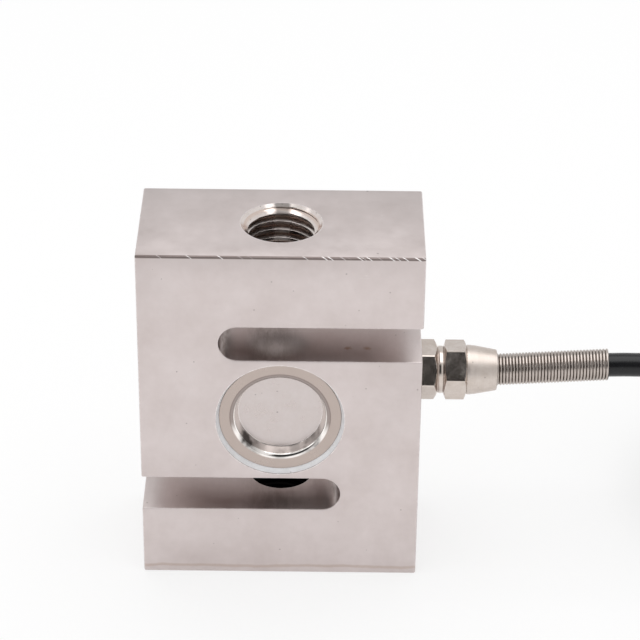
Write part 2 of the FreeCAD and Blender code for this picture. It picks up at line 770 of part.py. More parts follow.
def hexagon(body, start, length):
    """A hexagonal length of bar along X."""
    corners = []
    for corner in range(6):
        angle = math.radians(30 + 60 * corner)
        corners.append((HEX_CORNER * round(math.cos(angle), 12), HEX_CORNER * round(math.sin(angle), 12)))
    sketch = outline(body, "YZ_Plane", "hexagon", corners, origin=(0, 0, start))
    pad(body, sketch, length)


def break_corners(body, end, length):
    """Turns the corners off a hexagon's end. A negative length is for the end nearer the block."""
    spare = 0.5
    reach = HEX_CORNER + spare
    slope = length / (HEX_CORNER - SIZE["hex_end_radius"])
    corners = [
        (end, SIZE["hex_end_radius"]),
        (end, reach),
        (end - length - slope * spare, reach),
    ]
    revolve(body, outline(body, "XZ_Plane", "corner_break", corners), "H_Axis", cut=True)


def make_gland_body():
    """Hexagon, threaded shank into the block, and the barrel that the nut screws on to."""
    body = new_body("gland_body")
    hexagon(body, 0, SIZE["body_hex_length"])
    break_corners(body, SIZE["body_hex_length"], SIZE["hex_corner_break"])
    shank = SIZE["gland_tap_radius"] - SIZE["shank_clearance"]
    barrel = SIZE["barrel_radius"] - SIZE["shank_clearance"]
    inner_end = -SIZE["gland_tap_depth"]
    corners = [
        (inner_end, 0),
        (BARREL_END, 0),
        (BARREL_END, barrel),
        (NECK_END, barrel),
        (NECK_END, SIZE["neck_radius"]),
        (0, SIZE["neck_radius"]),
        (0, shank),
        (inner_end, shank),
    ]
    revolve(body, outline(body, "XZ_Plane", "turned", corners), "H_Axis")
    floor = WASHER_START - SIZE["grommet_length"]
    corners = [
        (inner_end, 0),
        (BARREL_END, 0),
        (BARREL_END, SIZE["grommet_radius"]),
        (floor, SIZE["grommet_radius"]),
        (floor, GLAND_BORE),
        (inner_end, GLAND_BORE),
    ]
    revolve(body, outline(body, "XZ_Plane", "bore", corners), "H_Axis", cut=True)
    seat_on_side(body, SIZE["body_hex_turn"])


def make_ring(label, start, end, inside, outside):
    """A plain ring about the gland's axis."""
    body = new_body(label)
    revolve(body, outline(body, "XZ_Plane", "section", rectangle(start, inside, end, outside)), "H_Axis")
    seat_on_side(body)


def make_gland_nut():
    """Hexagon nut with a round collar, a tapered nose and a seat for the spring."""
    body = new_body("gland_nut")
    hexagon(body, NECK_END, SIZE["nut_hex_length"])
    break_corners(body, NUT_HEX_END, SIZE["nut_corner_break"])
    break_corners(body, NECK_END, -SIZE["nut_corner_break"])
    corners = [
        (NECK_END, 0),
        (NOSE_END, 0),
        (NOSE_END, SIZE["nose_end_radius"]),
        (COLLAR_END, SIZE["collar_radius"]),
        (NUT_HEX_END, SIZE["collar_radius"]),
        (NUT_HEX_END, SIZE["barrel_radius"]),
        (NECK_END, SIZE["barrel_radius"]),
    ]
    revolve(body, outline(body, "XZ_Plane", "nose", corners), "H_Axis")
    seat = SIZE["spring_radius"] + SIZE["spring_clearance"]
    corners = [
        (NECK_END, 0),
        (NOSE_END, 0),
        (NOSE_END, seat),
        (SPRING_SEAT, seat),
        (SPRING_SEAT, GLAND_BORE),
        (NUT_SHOULDER, GLAND_BORE),
        (NUT_SHOULDER, SIZE["barrel_radius"]),
        (NECK_END, SIZE["barrel_radius"]),
    ]
    revolve(body, outline(body, "XZ_Plane", "bore", corners), "H_Axis", cut=True)
    seat_on_side(body, SIZE["nut_hex_turn"])


def make_spring():
    """The close-wound strain relief: a wire swept along a helix, ground flat where it sits in the nut."""
    winding = doc.addObject("Part::Helix", "winding")
    middle = SIZE["spring_radius"] - SIZE["spring_wire"] / 2
    bind(winding, "Pitch", SIZE["spring_pitch"])
    bind(winding, "Height", SIZE["spring_length"])
    bind(winding, "Radius", middle)
    section = doc.addObject("Part::Circle", "wire_section")
    bind(section, "Radius", SIZE["spring_wire"] / 2)
    turn(section, (1, 0, 0), 90)
    place(section, x=middle)
    coil = doc.addObject("Part::Sweep", "coiled_wire")
    coil.Sections = [section]
    coil.Spine = (winding, [])
    coil.Solid = True
    coil.Frenet = True
    turn(coil, (0, 1, 0), 90 - SIZE["spring_lift"])
    place(coil, x=HALF_WIDTH + SPRING_SEAT, z=CABLE_HEIGHT)
    room = SIZE["spring_radius"] * 4
    tool = box("grinding_tool", room, room, room, HALF_WIDTH + SPRING_SEAT - room / 2, 0, CABLE_HEIGHT)
    spring = doc.addObject("Part::Cut", "strain_relief_spring")
    spring.Base = coil
    spring.Tool = tool
    keep(spring, "strain_relief_spring")


# Cable


def outer_turn():
    """The radius of the coil's outermost turn, at the cable's middle."""
    return (SIZE["coil_inner_radius"] + SIZE["coil_column_count"] * SIZE["cable_diameter"] - CABLE_RADIUS).number


def coil_start():
    """Where the cable meets the coil: at the front of its top layer, which has no outermost turn."""
    radius = outer_turn() - NUMBER["cable_diameter"]
    height = coil_top() - CABLE_RADIUS.number
    return FreeCAD.Vector(NUMBER["coil_distance"], NUMBER["coil_aside"] - radius, height)


def coil_top():
    """The top of the coil."""
    return NUMBER["coil_row_count"] * NUMBER["cable_diameter"]


def cable_route():
    """The cable's way from the jacket's end in the gland, out of the spring and down to the coil's top turn."""
    level = CABLE_HEIGHT.number
    lift = math.radians(NUMBER["spring_lift"])
    bend = (HALF_WIDTH + NOSE_END + SIZE["cable_ease"]).number
    spring_end = (HALF_WIDTH + SPRING_SEAT).number + NUMBER["spring_length"] * math.cos(lift)
    clear = spring_end + NUMBER["cable_clear"]
    high = level + (clear - bend) * math.tan(lift)
    route = [((HALF_WIDTH - SIZE["jacket_end"]).number, 0.0, level), (bend, 0.0, level), (clear, 0.0, high)]
    meet = coil_start()
    for along, aside, height in DROOP:
        route.append((clear + (meet.x - clear) * along, meet.y * aside, meet.z + (high - meet.z) * height))
    return route


def tail_route():
    """The free tail's way along the floor, from the coil's bottom turn to where the jacket is stripped."""
    turn_radius = outer_turn()
    x, y = NUMBER["coil_distance"], NUMBER["coil_aside"]
    return [(x + turn_radius * right, y + turn_radius * rear, CABLE_RADIUS.number) for right, rear in TAIL]


def make_cable_run():
    """The cable from the jacket's end in the gland to where it meets the stored coil."""
    radius = CABLE_RADIUS.number
    solid, path, radii = tube(cable_route(), radius, NUMBER["cable_gentlest"])
    expected = math.pi * radius * radius * path.Length
    print("cable radii", [round(value, 1) for value in radii])
    print("cable volume", round(solid.Volume, 2), "expected", round(expected, 2))
    shape_node("cable_run", solid)


def coil_ring(corners, rounding):
    """A ring about the coil's axis with rounded rims, from its section's (radius, height) corners."""
    section = [FreeCAD.Vector(radius, 0, height) for radius, height in corners]
    face = Part.Face(Part.makePolygon([*section, section[0]]))
    ring = face.revolve(FreeCAD.Vector(), FreeCAD.Vector(0, 0, 1), 360)
    ring = ring.makeFillet(rounding, [edge for edge in ring.Edges if edge.Closed])
    ring.translate(FreeCAD.Vector(NUMBER["coil_distance"], NUMBER["coil_aside"], 0))
    return ring


def ring_corners(inside, outside, bottom, top):
    """The corners of a plain ring's section."""
    return [(inside, bottom), (outside, bottom), (outside, top), (inside, top)]


def strap_corners(spare):
    """The corners of the taut line round the bundle's section, which cuts across its missing top outer turn."""
    radius, diameter = CABLE_RADIUS.number, NUMBER["cable_diameter"]
    inside = NUMBER["coil_inner_radius"] - spare
    outside = outer_turn() + radius + spare
    bottom, top = NUMBER["tie_thickness"] - spare, coil_top() + spare
    return [(inside, bottom), (outside, bottom), (outside, top - diameter), (outside - diameter, top), (inside, top)]


def make_coil():
    """The stored coil as one closed outer shape, with the lead-in and the free tail, and the strap round it."""
    radius, diameter = CABLE_RADIUS.number, NUMBER["cable_diameter"]
    inside = NUMBER["coil_inner_radius"]
    outside = outer_turn() + radius
    low = coil_ring(ring_corners(inside, outside, 0, coil_top() - diameter), radius * COIL_ROUNDING)
    high = coil_ring(ring_corners(inside, outside - diameter, 0, coil_top()), radius * COIL_ROUNDING)
    before, run_end = (FreeCAD.Vector(*point) for point in cable_route()[-2:])
    lead_in = Part.makeCylinder(radius, coil_start().distanceToPoint(run_end), run_end, run_end - before)
    tail = tube(tail_route(), radius)[0]
    outer = coil_ring(strap_corners(NUMBER["tie_thickness"]), radius)
    inner = coil_ring(strap_corners(0.0), radius)
    width = NUMBER["tie_width"]
    slab = Part.makeBox(2 * outside, width, 2 * coil_top(), FreeCAD.Vector(0, -width / 2, -radius))
    slab.rotate(FreeCAD.Vector(), FreeCAD.Vector(0, 0, 1), TIE_ANGLE)
    slab.translate(FreeCAD.Vector(NUMBER["coil_distance"], NUMBER["coil_aside"], 0))
    band = outer.cut(inner).common(slab)
    shape_node("cable_coil", low.fuse([high, lead_in, tail]).cut(band).removeSplitter())
    shape_node("coil_tie", band)


def make_free_end():
    """The stripped cores and the twisted screen that fan out on the floor from the cable's end."""
    before, end = (FreeCAD.Vector(*point) for point in tail_route()[-2:])
    heading = (end - before).normalize()
    across = FreeCAD.Vector(-heading.y, heading.x, 0)
    core, screen = NUMBER["lead_wire_radius"], NUMBER["screen_radius"]
    # Each wire's (along, across, height) from the middle of the jacket's end.
    lies = {
        "lead_red": [(0, -0.75, 0.75), (2, -0.75, 0.75), (10, -3.4, 0), (17, -4.8, 0), (24, -5.6, 0)],
        "lead_green": [(0, -0.75, -0.75), (2, -0.75, -0.75), (10, -1.1, 0), (17, -1.5, 0), (23, -2.6, 0)],
        "lead_black": [(0, 0.75, 0.75), (2, 0.75, 0.75), (10, 0.5, 0), (17, 1.1, 0), (25, 0.9, 0)],
        "lead_white": [(0, 0.75, -0.75), (2, 0.75, -0.75), (10, 2.9, 0), (17, 4.1, 0), (24, 4.7, 0)],
        "screen_tail": [(0, 1.9, 0), (2, 1.9, 0), (10, 5.0, 0), (16, 6.8, 0), (21, 7.8, 0)],
    }
    for label, places in lies.items():
        radius = screen if label == "screen_tail" else core
        points = []
        for count, (along, side, height) in enumerate(places):
            point = end + heading * along + across * side
            point.z = radius if count >= 2 else end.z + height
            points.append(point)
        shape_node(label, tube(points, radius)[0])


def make_everything():
    """Builds each sub-part in turn."""
    make_block()
    for where, side, facing in (("front", -1, 180), ("rear", 1, 0)):
        make_cover(f"{where}_cover", facing)
        make_sealant(f"{where}_sealant", facing)
        make_backing(f"{where}_gauge_backing", side)
        make_foil(f"{where}_gauge_foil", side)
    make_board("front_terminal_board", "terminal_board", -1, [(0, (-1, 0, 1))])
    make_board("trim_board", "trim_board", 1, [(0.5, (-1.5, -0.5, 0.5, 1.5)), (-0.5, (-1.5, -0.5, 0.5, 1.5))])
    make_resistors()
    make_wiring()
    make_gland_body()
    grommet_start = WASHER_START - SIZE["grommet_length"]
    make_ring("gland_grommet", grommet_start, WASHER_START, CABLE_RADIUS, SIZE["grommet_radius"])
    washer_outside = SIZE["barrel_radius"] - SIZE["cable_clearance"]
    make_ring("gland_washer", WASHER_START, NUT_SHOULDER, GLAND_BORE, washer_outside)
    make_gland_nut()
    make_spring()
    make_cable_run()
    make_coil()
    make_free_end()


def export():
    """Checks every object of the document, then writes each sub-part to its own file."""
    doc.recompute()
    for feature in doc.Objects:
        if "Invalid" in feature.State or "Error" in feature.State:
            raise RuntimeError(f"{feature.Label} failed: {feature.State}")
    os.makedirs("parts", exist_ok=True)
    for node in nodes:
        if node.Shape.isNull() or not node.Shape.isValid() or not node.Shape.Solids:
            raise RuntimeError(f"{node.Label} has no valid solid")
    for node in nodes:
        node.Shape.exportStep(f"parts/{node.Label}.step")
        print(node.Label, len(node.Shape.Solids), "solid", round(node.Shape.Volume, 3), "mm3")


make_everything()
export()
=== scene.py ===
"""Looks of an S type load cell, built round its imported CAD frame.

The slotted steel block, its two sealed covers, the cable gland with its spring and the long cable are each a
class of their own. Sizes are in metres, +X points to the cable, +Y to the rear cover and +Z up the load axis.
"""

import logging
import math
from collections.abc import Callable, Iterable, Sequence
from dataclasses import dataclass, field
from enum import Enum

import bmesh
import bpy
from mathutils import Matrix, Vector, noise

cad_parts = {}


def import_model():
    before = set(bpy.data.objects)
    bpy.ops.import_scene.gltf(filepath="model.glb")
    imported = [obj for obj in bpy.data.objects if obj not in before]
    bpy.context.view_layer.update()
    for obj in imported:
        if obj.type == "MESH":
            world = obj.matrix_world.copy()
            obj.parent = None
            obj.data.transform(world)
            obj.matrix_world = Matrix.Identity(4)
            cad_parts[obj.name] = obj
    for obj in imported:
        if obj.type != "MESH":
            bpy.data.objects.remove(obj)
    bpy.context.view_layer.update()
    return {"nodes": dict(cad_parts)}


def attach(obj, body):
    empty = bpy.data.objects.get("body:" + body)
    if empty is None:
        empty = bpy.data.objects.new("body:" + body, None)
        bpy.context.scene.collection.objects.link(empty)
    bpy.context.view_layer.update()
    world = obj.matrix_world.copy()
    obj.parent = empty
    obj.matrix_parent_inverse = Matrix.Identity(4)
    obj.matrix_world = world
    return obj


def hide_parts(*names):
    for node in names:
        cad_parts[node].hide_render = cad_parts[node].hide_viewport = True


LOG = logging.getLogger("load_cell")
MM = 0.001
Point = tuple[float, float, float]
Section = list[tuple[float, float]]
Colour = tuple[float, float, float]
Socket = bpy.types.NodeSocket

# Sizes that more than one part of the load cell goes by.
BLOCK_HEIGHT = 80.0 * MM
HALF_WIDTH = 30.0 * MM
HALF_DEPTH = 15.0 * MM
ARM = 17.0 * MM
SLOT = 8.0 * MM
REACH = 13.0 * MM
COVER_HEIGHT = 40.2 * MM
CABLE_HEIGHT = 44.05 * MM


class Axis(Enum):
    """The axis that a turned piece is made round."""

    X = "X"
    Y = "Y"
    Z = "Z"

    def at(self, along: float, radius: float, angle: float) -> Point:
        """Gives the point that far along the axis, out from it and round it.

        Args:
            along: Distance along the axis.
            radius: Distance out from the axis.
            angle: Angle round the axis, in radians.

        Returns:
            The point, with the axis through the origin.
        """
        side, rise = radius * math.cos(angle), radius * math.sin(angle)
        if self is Axis.X:
            return (along, side, rise)
        if self is Axis.Y:
            return (side, along, rise)
        return (side, rise, along)


# Mesh helpers


def placed(name: str, data: bpy.types.ID) -> bpy.types.Object:
    """Makes an object that shows some data in the scene.

    Args:
        name: The object's name.
        data: What it shows.

    Returns:
        The new object.
    """
    made = bpy.data.objects.new(name, data)
    bpy.context.scene.collection.objects.link(made)
    return made


def smooth(mesh: bpy.types.Mesh, angle: float = 32.0) -> None:
    """Shades a mesh smooth, apart from edges sharper than the angle.

    Args:
        mesh: The mesh to shade.
        angle: Largest angle that is shaded smooth, in degrees.
    """
    mesh.polygons.foreach_set("use_smooth", [True] * len(mesh.polygons))
    mesh.set_sharp_from_angle(angle=math.radians(angle))
    mesh.update()


def piece(
    name: str, points: Iterable[Point], faces: Iterable[Sequence[int]], angle: float = 32.0
) -> bpy.types.Object:
    """Makes a mesh object out of points and faces.

    Args:
        name: The piece's name.
        points: Its points, in the row frame.
        faces: Its faces, as indices of points.
        angle: Largest angle that is shaded smooth, in degrees.

    Returns:
        The new object.
    """
    mesh = bpy.data.meshes.new(name)
    mesh.from_pydata(list(points), [], list(faces))
    shape = bmesh.new()
    shape.from_mesh(mesh)
    bmesh.ops.remove_doubles(shape, verts=shape.verts, dist=1e-7)
    bmesh.ops.dissolve_degenerate(shape, edges=shape.edges, dist=1e-8)
    bmesh.ops.recalc_face_normals(shape, faces=shape.faces)
    shape.to_mesh(mesh)
    shape.free()
    smooth(mesh, angle)
    return placed(name, mesh)


def sheet_of(
    rows: int, columns: int, at: Callable[[int, int], Point], closed: bool = True
) -> tuple[list, list]:
    """Lays out a grid of points and the faces between them.

    Args:
        rows: Number of rows of points.
        columns: Number of points in each row.
        at: Gives the point of a row and column.
        closed: Whether each row's last point joins its first.

    Returns:
        The points and the faces.
    """
    points = [at(row, column) for row in range(rows) for column in range(columns)]
    faces = []
    for row in range(rows - 1):
        for column in range(columns if closed else columns - 1):
            right = (column + 1) % columns
            low, high = row * columns, (row + 1) * columns
            faces.append((low + column, low + right, high + right, high + column))
    return points, faces


def turned(
    name: str,
    profile: Section,
    axis: Axis,
    middle: Point = (0, 0, 0),
    segments: int = 128,
    closed: bool = True,
    angle: float = 32.0,
) -> bpy.types.Object:
    """Turns a profile round an axis.

    Args:
        name: The piece's name.
        profile: Points of the profile, each (along, radius).
        axis: The axis that it turns round.
        middle: A point that the axis passes through.
        segments: Number of steps round the axis.
        closed: Whether the profile's last point joins its first.
        angle: Largest angle that is shaded smooth, in degrees.

    Returns:
        The new object.
    """
    loop = [*profile, profile[0]] if closed else list(profile)

    def at(row: int, column: int) -> Point:
        """Gives one point of the turned surface."""
        along, radius = loop[row]
        return tuple(Vector(axis.at(along, radius, math.tau * column / segments)) + Vector(middle))

    points, faces = sheet_of(len(loop), segments, at)
    return piece(name, points, faces, angle)


def stepped(start: float, *steps: tuple[float, float]) -> Section:
    """Gives the section of a stepped hole as (along, radius).

    Args:
        start: Where the hole starts.
        *steps: The radius of each step and where it ends.

    Returns:
        The section's points.
    """
    found = [(start, 0.0)]
    for radius, end in steps:
        found += [(start, radius), (end, radius)]
        start = end
    return [*found, (start, 0.0)]


def cut(target: bpy.types.Object, tools: Iterable[bpy.types.Object], angle: float = 32.0) -> None:
    """Cuts pieces out of another, and removes them.

    Args:
        target: The piece that is cut.
        tools: The pieces that cut it.
        angle: Largest angle of the result that is shaded smooth, in degrees.
    """
    for tool in tools:
        modifier = target.modifiers.new("cut", "BOOLEAN")
        modifier.operation = "DIFFERENCE"
        modifier.solver = "EXACT"
        modifier.object = tool
        shape = target.evaluated_get(bpy.context.evaluated_depsgraph_get())
        mesh = bpy.data.meshes.new_from_object(shape)
        target.modifiers.clear()
        target.data = mesh
        bpy.data.objects.remove(tool)
    smooth(target.data, angle)


def spline(
    name: str, points: Sequence[Point], radius: float, steps: int = 8, roundness: int = 6
) -> bpy.types.Object:
    """Makes a round cord along one smooth open NURBS spline.

    Args:
        name: The piece's name.
        points: The spline's control points.
        radius: The cord's radius, or 0 for the bare line.
        steps: Sections between two control points.
        roundness: Blender's bevel resolution.

    Returns:
        The new curve object.
    """
    curve = bpy.data.curves.new(name, "CURVE")
    curve.dimensions = "3D"
    curve.bevel_depth = radius
    curve.bevel_resolution = roundness
    curve.use_fill_caps = True
    curve.resolution_u = steps
    line = curve.splines.new("NURBS")
    line.points.add(len(points) - 1)
    for place, point in zip(line.points, points):
        place.co = (*point, 1.0)
    line.order_u = 3
    line.use_endpoint_u = True
    line.use_smooth = True
    return placed(name, curve)


def line_of(points: Sequence[Point], steps: int = 12) -> list[Vector]:
    """Reads the smooth line that a bare NURBS spline takes between its control points.

    Args:
        points: The spline's control points.
        steps: Sections between two control points.

    Returns:
        Points along the line.
    """
    bare = spline("bare_line", points, 0.0, steps)
    bare.data.use_fill_caps = False
    shape = bare.evaluated_get(bpy.context.evaluated_depsgraph_get())
    mesh = bpy.data.meshes.new_from_object(shape)
    places = [point.co.copy() for point in mesh.vertices]
    bpy.data.meshes.remove(mesh)
    bpy.data.objects.remove(bare)
    return places


def swept(
    name: str, line: Sequence[Vector], radius: Callable[[float], float], sides: int = 12
) -> bpy.types.Object:
    """Sweeps a round section along a line of points.

    Args:
        name: The piece's name.
        line: Points along the middle.
        radius: Gives the radius at a share of the line, from 0 to 1.
        sides: Number of points round the section.

    Returns:
        The new object.
    """
    count = len(line)
    side = (line[1] - line[0]).orthogonal().normalized()
    frames = []
    for index, point in enumerate(line):
        heading = (line[min(index + 1, count - 1)] - line[max(index - 1, 0)]).normalized()
        side = (side - heading * side.dot(heading)).normalized()
        frames.append((point, side.copy(), heading.cross(side)))

    def at(row: int, column: int) -> Point:
        """Gives one point of the swept surface.

        Args:
            row: The point's row.
            column: Its place in that row.

        Returns:
            The point.
        """
        point, across, up = frames[row]
        angle = math.tau * column / sides
        size = radius(row / (count - 1))
        return tuple(point + (across * math.cos(angle) + up * math.sin(angle)) * size)

    points, faces = sheet_of(count, sides, at)
    faces.append(tuple(reversed(range(sides))))
    faces.append(tuple(range((count - 1) * sides, count * sides)))
    return piece(name, points, faces, 50.0)


def wander(place: Point, size: float, seed: float = 0.0) -> float:
    """Gives a smooth random number from about -1 to 1.

    Args:
        place: Where it is read.
        size: Distance over which it changes.
        seed: Shifts it to other numbers.

    Returns:
        The number.
    """
    return noise.noise(Vector(place) / size + Vector((seed, seed * 1.7, seed * 0.6)))


# Node helpers


@dataclass(frozen=True)
class Value:
    """A socket's value that can be reckoned with: each operator adds a Math node, and | gives the larger."""

    graph: "Graph"
    socket: Socket

    def math(self, operation: str, other: object = 0.0, clamp: bool = False) -> "Value":
        """Adds a Math node with this value first."""
        return self.graph.math(operation, self, other, clamp)

    def __add__(self, other: object) -> "Value":
        """Adds a number or value."""
        return self.math("ADD", other)

    def __sub__(self, other: object) -> "Value":
        """Takes a number or value away."""
        return self.math("SUBTRACT", other)

    def __rsub__(self, other: object) -> "Value":
        """Takes this value away from a number."""
        return self.graph.math("SUBTRACT", other, self)

    def __mul__(self, other: object) -> "Value":
        """Multiplies by a number or value."""
        return self.math("MULTIPLY", other)

    def __or__(self, other: object) -> "Value":
        """Gives the larger of this and another."""
        return self.math("MAXIMUM", other)

    def __abs__(self) -> "Value":
        """Gives this value without its sign."""
        return self.math("ABSOLUTE")

    def ramp(self, low: float, high: float, start: float = 0.0, end: float = 1.0) -> "Value":
        """Maps a range of this value smoothly and clamped to another."""
        ends = {"From_Min": low, "From_Max": high, "To_Min": start, "To_Max": end}
        return self.graph.get("MapRange", 0, {"interpolation_type": "SMOOTHSTEP"}, Value=self, **ends)

    def fade(self, full: float, gone: float, amount: float = 1.0) -> "Value":
        """Gives the amount up to one value, and nothing past another."""
        return self.ramp(full, gone, amount, 0.0)


class Graph:
    """A node tree while it is being wired."""

    def __init__(self, tree: bpy.types.NodeTree) -> None:
        """Keeps the tree."""
        self.tree = tree

    def add(self, kind: str, settings: dict | None = None, **inputs: object) -> bpy.types.Node:
        """Adds a node and feeds its inputs.

        Args:
            kind: The node's type, without its ShaderNode prefix.
            settings: Properties of the node.
            **inputs: Values by input name, with _ for a space, or in0, in1 ... for its place.

        Returns:
            The new node.
        """
        node = self.tree.nodes.new(f"ShaderNode{kind}")
        for name, value in (settings or {}).items():
            setattr(node, name, value)
        for name, value in inputs.items():
            key = int(name[2:]) if name[:2] == "in" and name[2:].isdigit() else name.replace("_", " ")
            self.feed(node.inputs[key], value)
        return node

    def get(self, kind: str, output: int | str = 0, settings: dict | None = None, **inputs: object) -> Value:
        """Adds a node, as add does, and gives one of its outputs."""
        return Value(self, self.add(kind, settings, **inputs).outputs[output])

    def feed(self, socket: Socket, value: object) -> None:
        """Links a socket to a value of the tree, or gives it a constant.

        Args:
            socket: The input.
            value: A value of the tree, or a constant.
        """
        if isinstance(value, Value):
            self.tree.links.new(value.socket, socket)
        elif isinstance(value, tuple) and len(value) == 3 and socket.type == "RGBA":
            socket.default_value = (*value, 1.0)
        else:
            socket.default_value = value

    def math(self, operation: str, first: object, second: object, clamp: bool = False) -> Value:
        """Adds a Math node."""
        return self.get("Math", 0, {"operation": operation, "use_clamp": clamp}, in0=first, in1=second)

    def vector(self, operation: str, output: int | str, *given: object) -> Value:
        """Adds a Vector Math node."""
        inputs = {f"in{count}": value for count, value in enumerate(given)}
        return self.get("VectorMath", output, {"operation": operation}, **inputs)

    def across(self, place: Value, ways: Point) -> Value:
        """Gives the distance from an axis, measured only along the ways that are 1."""
        return self.vector("LENGTH", "Value", self.vector("MULTIPLY", 0, place, ways))

    def parts(self, place: Value) -> list[Value]:
        """Splits a vector into X, Y and Z."""
        return [Value(self, socket) for socket in self.add("SeparateXYZ", Vector=place).outputs]

    def blend(self, share: object, first: object, second: object) -> Value:
        """Mixes two colours by a share."""
        return self.get("Mix", 2, {"data_type": "RGBA"}, in0=share, in6=first, in7=second)

    def layered(self, colour: object, *coats: tuple[Value, object]) -> Value:
        """Lays coats of colour over a colour, each by its own share.

        Args:
            colour: The lowest colour.
            *coats: The share and colour of each coat.

        Returns:
            The colour on top.
        """
        for share, coat in coats:
            colour = self.blend(share, colour, coat)
        return colour

    def noise(self, place: Value, scale: object, detail: float = 3.0, roughness: float = 0.55) -> Value:
        """Adds a noise texture."""
        return self.get("TexNoise", Vector=place, Scale=scale, Detail=detail, Roughness=roughness)

    def bands(self, along: Value, scale: float, detail: float) -> Value:
        """Adds noise that changes only with one value."""
        return self.get("TexNoise", 0, {"noise_dimensions": "1D"}, W=along, Scale=scale, Detail=detail)

    def place(self) -> Value:
        """Gives the surface's place in the object's own frame."""
        return self.get("TexCoord", "Object")

    def rays(self, *kinds: str) -> list[Value]:
        """Tells which kinds of ray see the surface."""
        path = self.add("LightPath")
        return [Value(self, path.outputs[f"Is {kind} Ray"]) for kind in kinds]


class Effect(Enum):
    """The effects that several finishes share, each a node group."""

    CLOUDS = "Clouds"
    SPECKS = "Specks"
    SCRATCHES = "Scratches"
    WORN_EDGES = "WornEdges"
    GRAIN = "Grain"

    def group(self) -> bpy.types.NodeTree:
        """Gives the effect's node group, built the first time that it is asked for.

        Returns:
            The group.
        """
        found = bpy.data.node_groups.get(self.value)
        if found:
            return found
        tree = bpy.data.node_groups.new(self.value, "ShaderNodeTree")
        builders = {
            Effect.CLOUDS: clouds,
            Effect.SPECKS: specks,
            Effect.SCRATCHES: scratches,
            Effect.WORN_EDGES: worn_edges,
            Effect.GRAIN: grain,
        }
        builders[self](tree)
        return tree

    def on(self, graph: Graph, place: Value, **inputs: object) -> Value:
        """Places the effect in a material.

        Args:
            graph: The material's graph.
            place: The surface's place.
            **inputs: The group's other inputs by name.

        Returns:
            The effect's only output.
        """
        return graph.get("Group", 0, {"node_tree": self.group()}, Place=place, **inputs)


def open_group(tree: bpy.types.NodeTree, output: str, **inputs: float) -> tuple[Graph, list[Value], Callable]:
    """Gives a group its sockets, of which Place is always the first.

    Args:
        tree: The group's tree.
        output: The output's name.
        **inputs: Each further input's default.

    Returns:
        The graph, the inputs inside it, and a function that takes the output's value.
    """
    tree.interface.new_socket(name="Place", in_out="INPUT", socket_type="NodeSocketVector")
    for name, default in inputs.items():
        socket = tree.interface.new_socket(name=name, in_out="INPUT", socket_type="NodeSocketFloat")
        socket.default_value = default
    tree.interface.new_socket(name=output, in_out="OUTPUT", socket_type="NodeSocketFloat")
    graph = Graph(tree)
    entry = tree.nodes.new("NodeGroupInput")
    leave = tree.nodes.new("NodeGroupOutput")
    given = [Value(graph, socket) for socket in entry.outputs if socket.name]
    return graph, given, lambda value: graph.feed(leave.inputs[0], value)


def clouds(tree: bpy.types.NodeTree) -> None:
    """Soft uneven patches: Place, Scale and Contrast give Mask, about 0.5 on average.

    Args:
        tree: The group's tree.
    """
    graph, (place, scale, contrast), finish = open_group(tree, "Mask", Scale=100.0, Contrast=1.0)
    wide = graph.noise(place, scale, 4.0, 0.6)
    fine = graph.noise(place, scale * 5.3, 2.0)
    raised = (wide * 0.75 + fine * 0.25 - 0.5) * contrast
    finish(raised.math("ADD", 0.5, clamp=True))


def specks(tree: bpy.types.NodeTree) -> None:
    """Small scattered spots: Place, Scale and Share give Mask.

    Args:
        tree: The group's tree.
    """
    graph, (place, scale, share), finish = open_group(tree, "Mask", Scale=900.0, Share=0.2)
    cells = graph.add("TexVoronoi", Vector=place, Scale=scale)
    colour, distance = (Value(graph, cells.outputs[name]) for name in ("Color", "Distance"))
    picks = graph.add("SeparateColor", Color=colour)
    pick, size = (Value(graph, picks.outputs[count]) for count in (0, 1))
    spot = size * 0.3 + 0.08 - distance
    finish(spot.ramp(0.0, 0.12) * pick.math("LESS_THAN", share))


def scratches(tree: bpy.types.NodeTree) -> None:
    """Fine long scratches two ways: Place, Scale and Share give Mask.

    Args:
        tree: The group's tree.
    """
    graph, (place, scale, share), finish = open_group(tree, "Mask", Scale=60.0, Share=0.2)
    marks = []
    for lean, long_way in ((0.35, 7.0), (-1.1, 4.0)):
        stretch = {"Rotation": (0.4 * lean, lean, 0.3), "Scale": (long_way, 9.0, 110.0)}
        turned_place = graph.get("Mapping", Vector=place, **stretch)
        thin = abs(graph.noise(turned_place, scale * 0.2, 1.0) - 0.5).fade(0.004, 0.02)
        broken = graph.noise(place, scale * 4.0, 2.0)
        marks.append(thin * (broken - (0.8 - share * 0.6)).ramp(0.0, 0.06))
    finish(marks[0] | marks[1])


def worn_edges(tree: bpy.types.NodeTree) -> None:
    """Bare or bright edges: Place, Width, Scale and Amount give Mask, broken up by noise.

    Args:
        tree: The group's tree.
    """
    defaults = {"Width": 0.0004, "Scale": 900.0, "Amount": 1.0}
    graph, (place, width, scale, amount), finish = open_group(tree, "Mask", **defaults)
    rounded = graph.get("Bevel", 0, {"samples": 6}, Radius=width)
    plain = graph.get("NewGeometry", "Normal")
    edge = graph.vector("DOT_PRODUCT", "Value", rounded, plain).ramp(0.985, 0.86)
    patchy = graph.noise(place, scale, 3.0, 0.7).ramp(0.36, 0.6)
    finish((edge * patchy).math("MULTIPLY", amount, clamp=True))


def grain(tree: bpy.types.NodeTree) -> None:
    """A fine uneven surface: Place and Scale give Height.

    Args:
        tree: The group's tree.
    """
    graph, (place, scale), finish = open_group(tree, "Height", Scale=2500.0)
    fine = graph.noise(place, scale, 2.0, 0.6)
    wide = graph.noise(place, scale * 0.12, 2.0, 0.5)
    finish(fine * 0.4 + wide * 0.6)


# Finishes


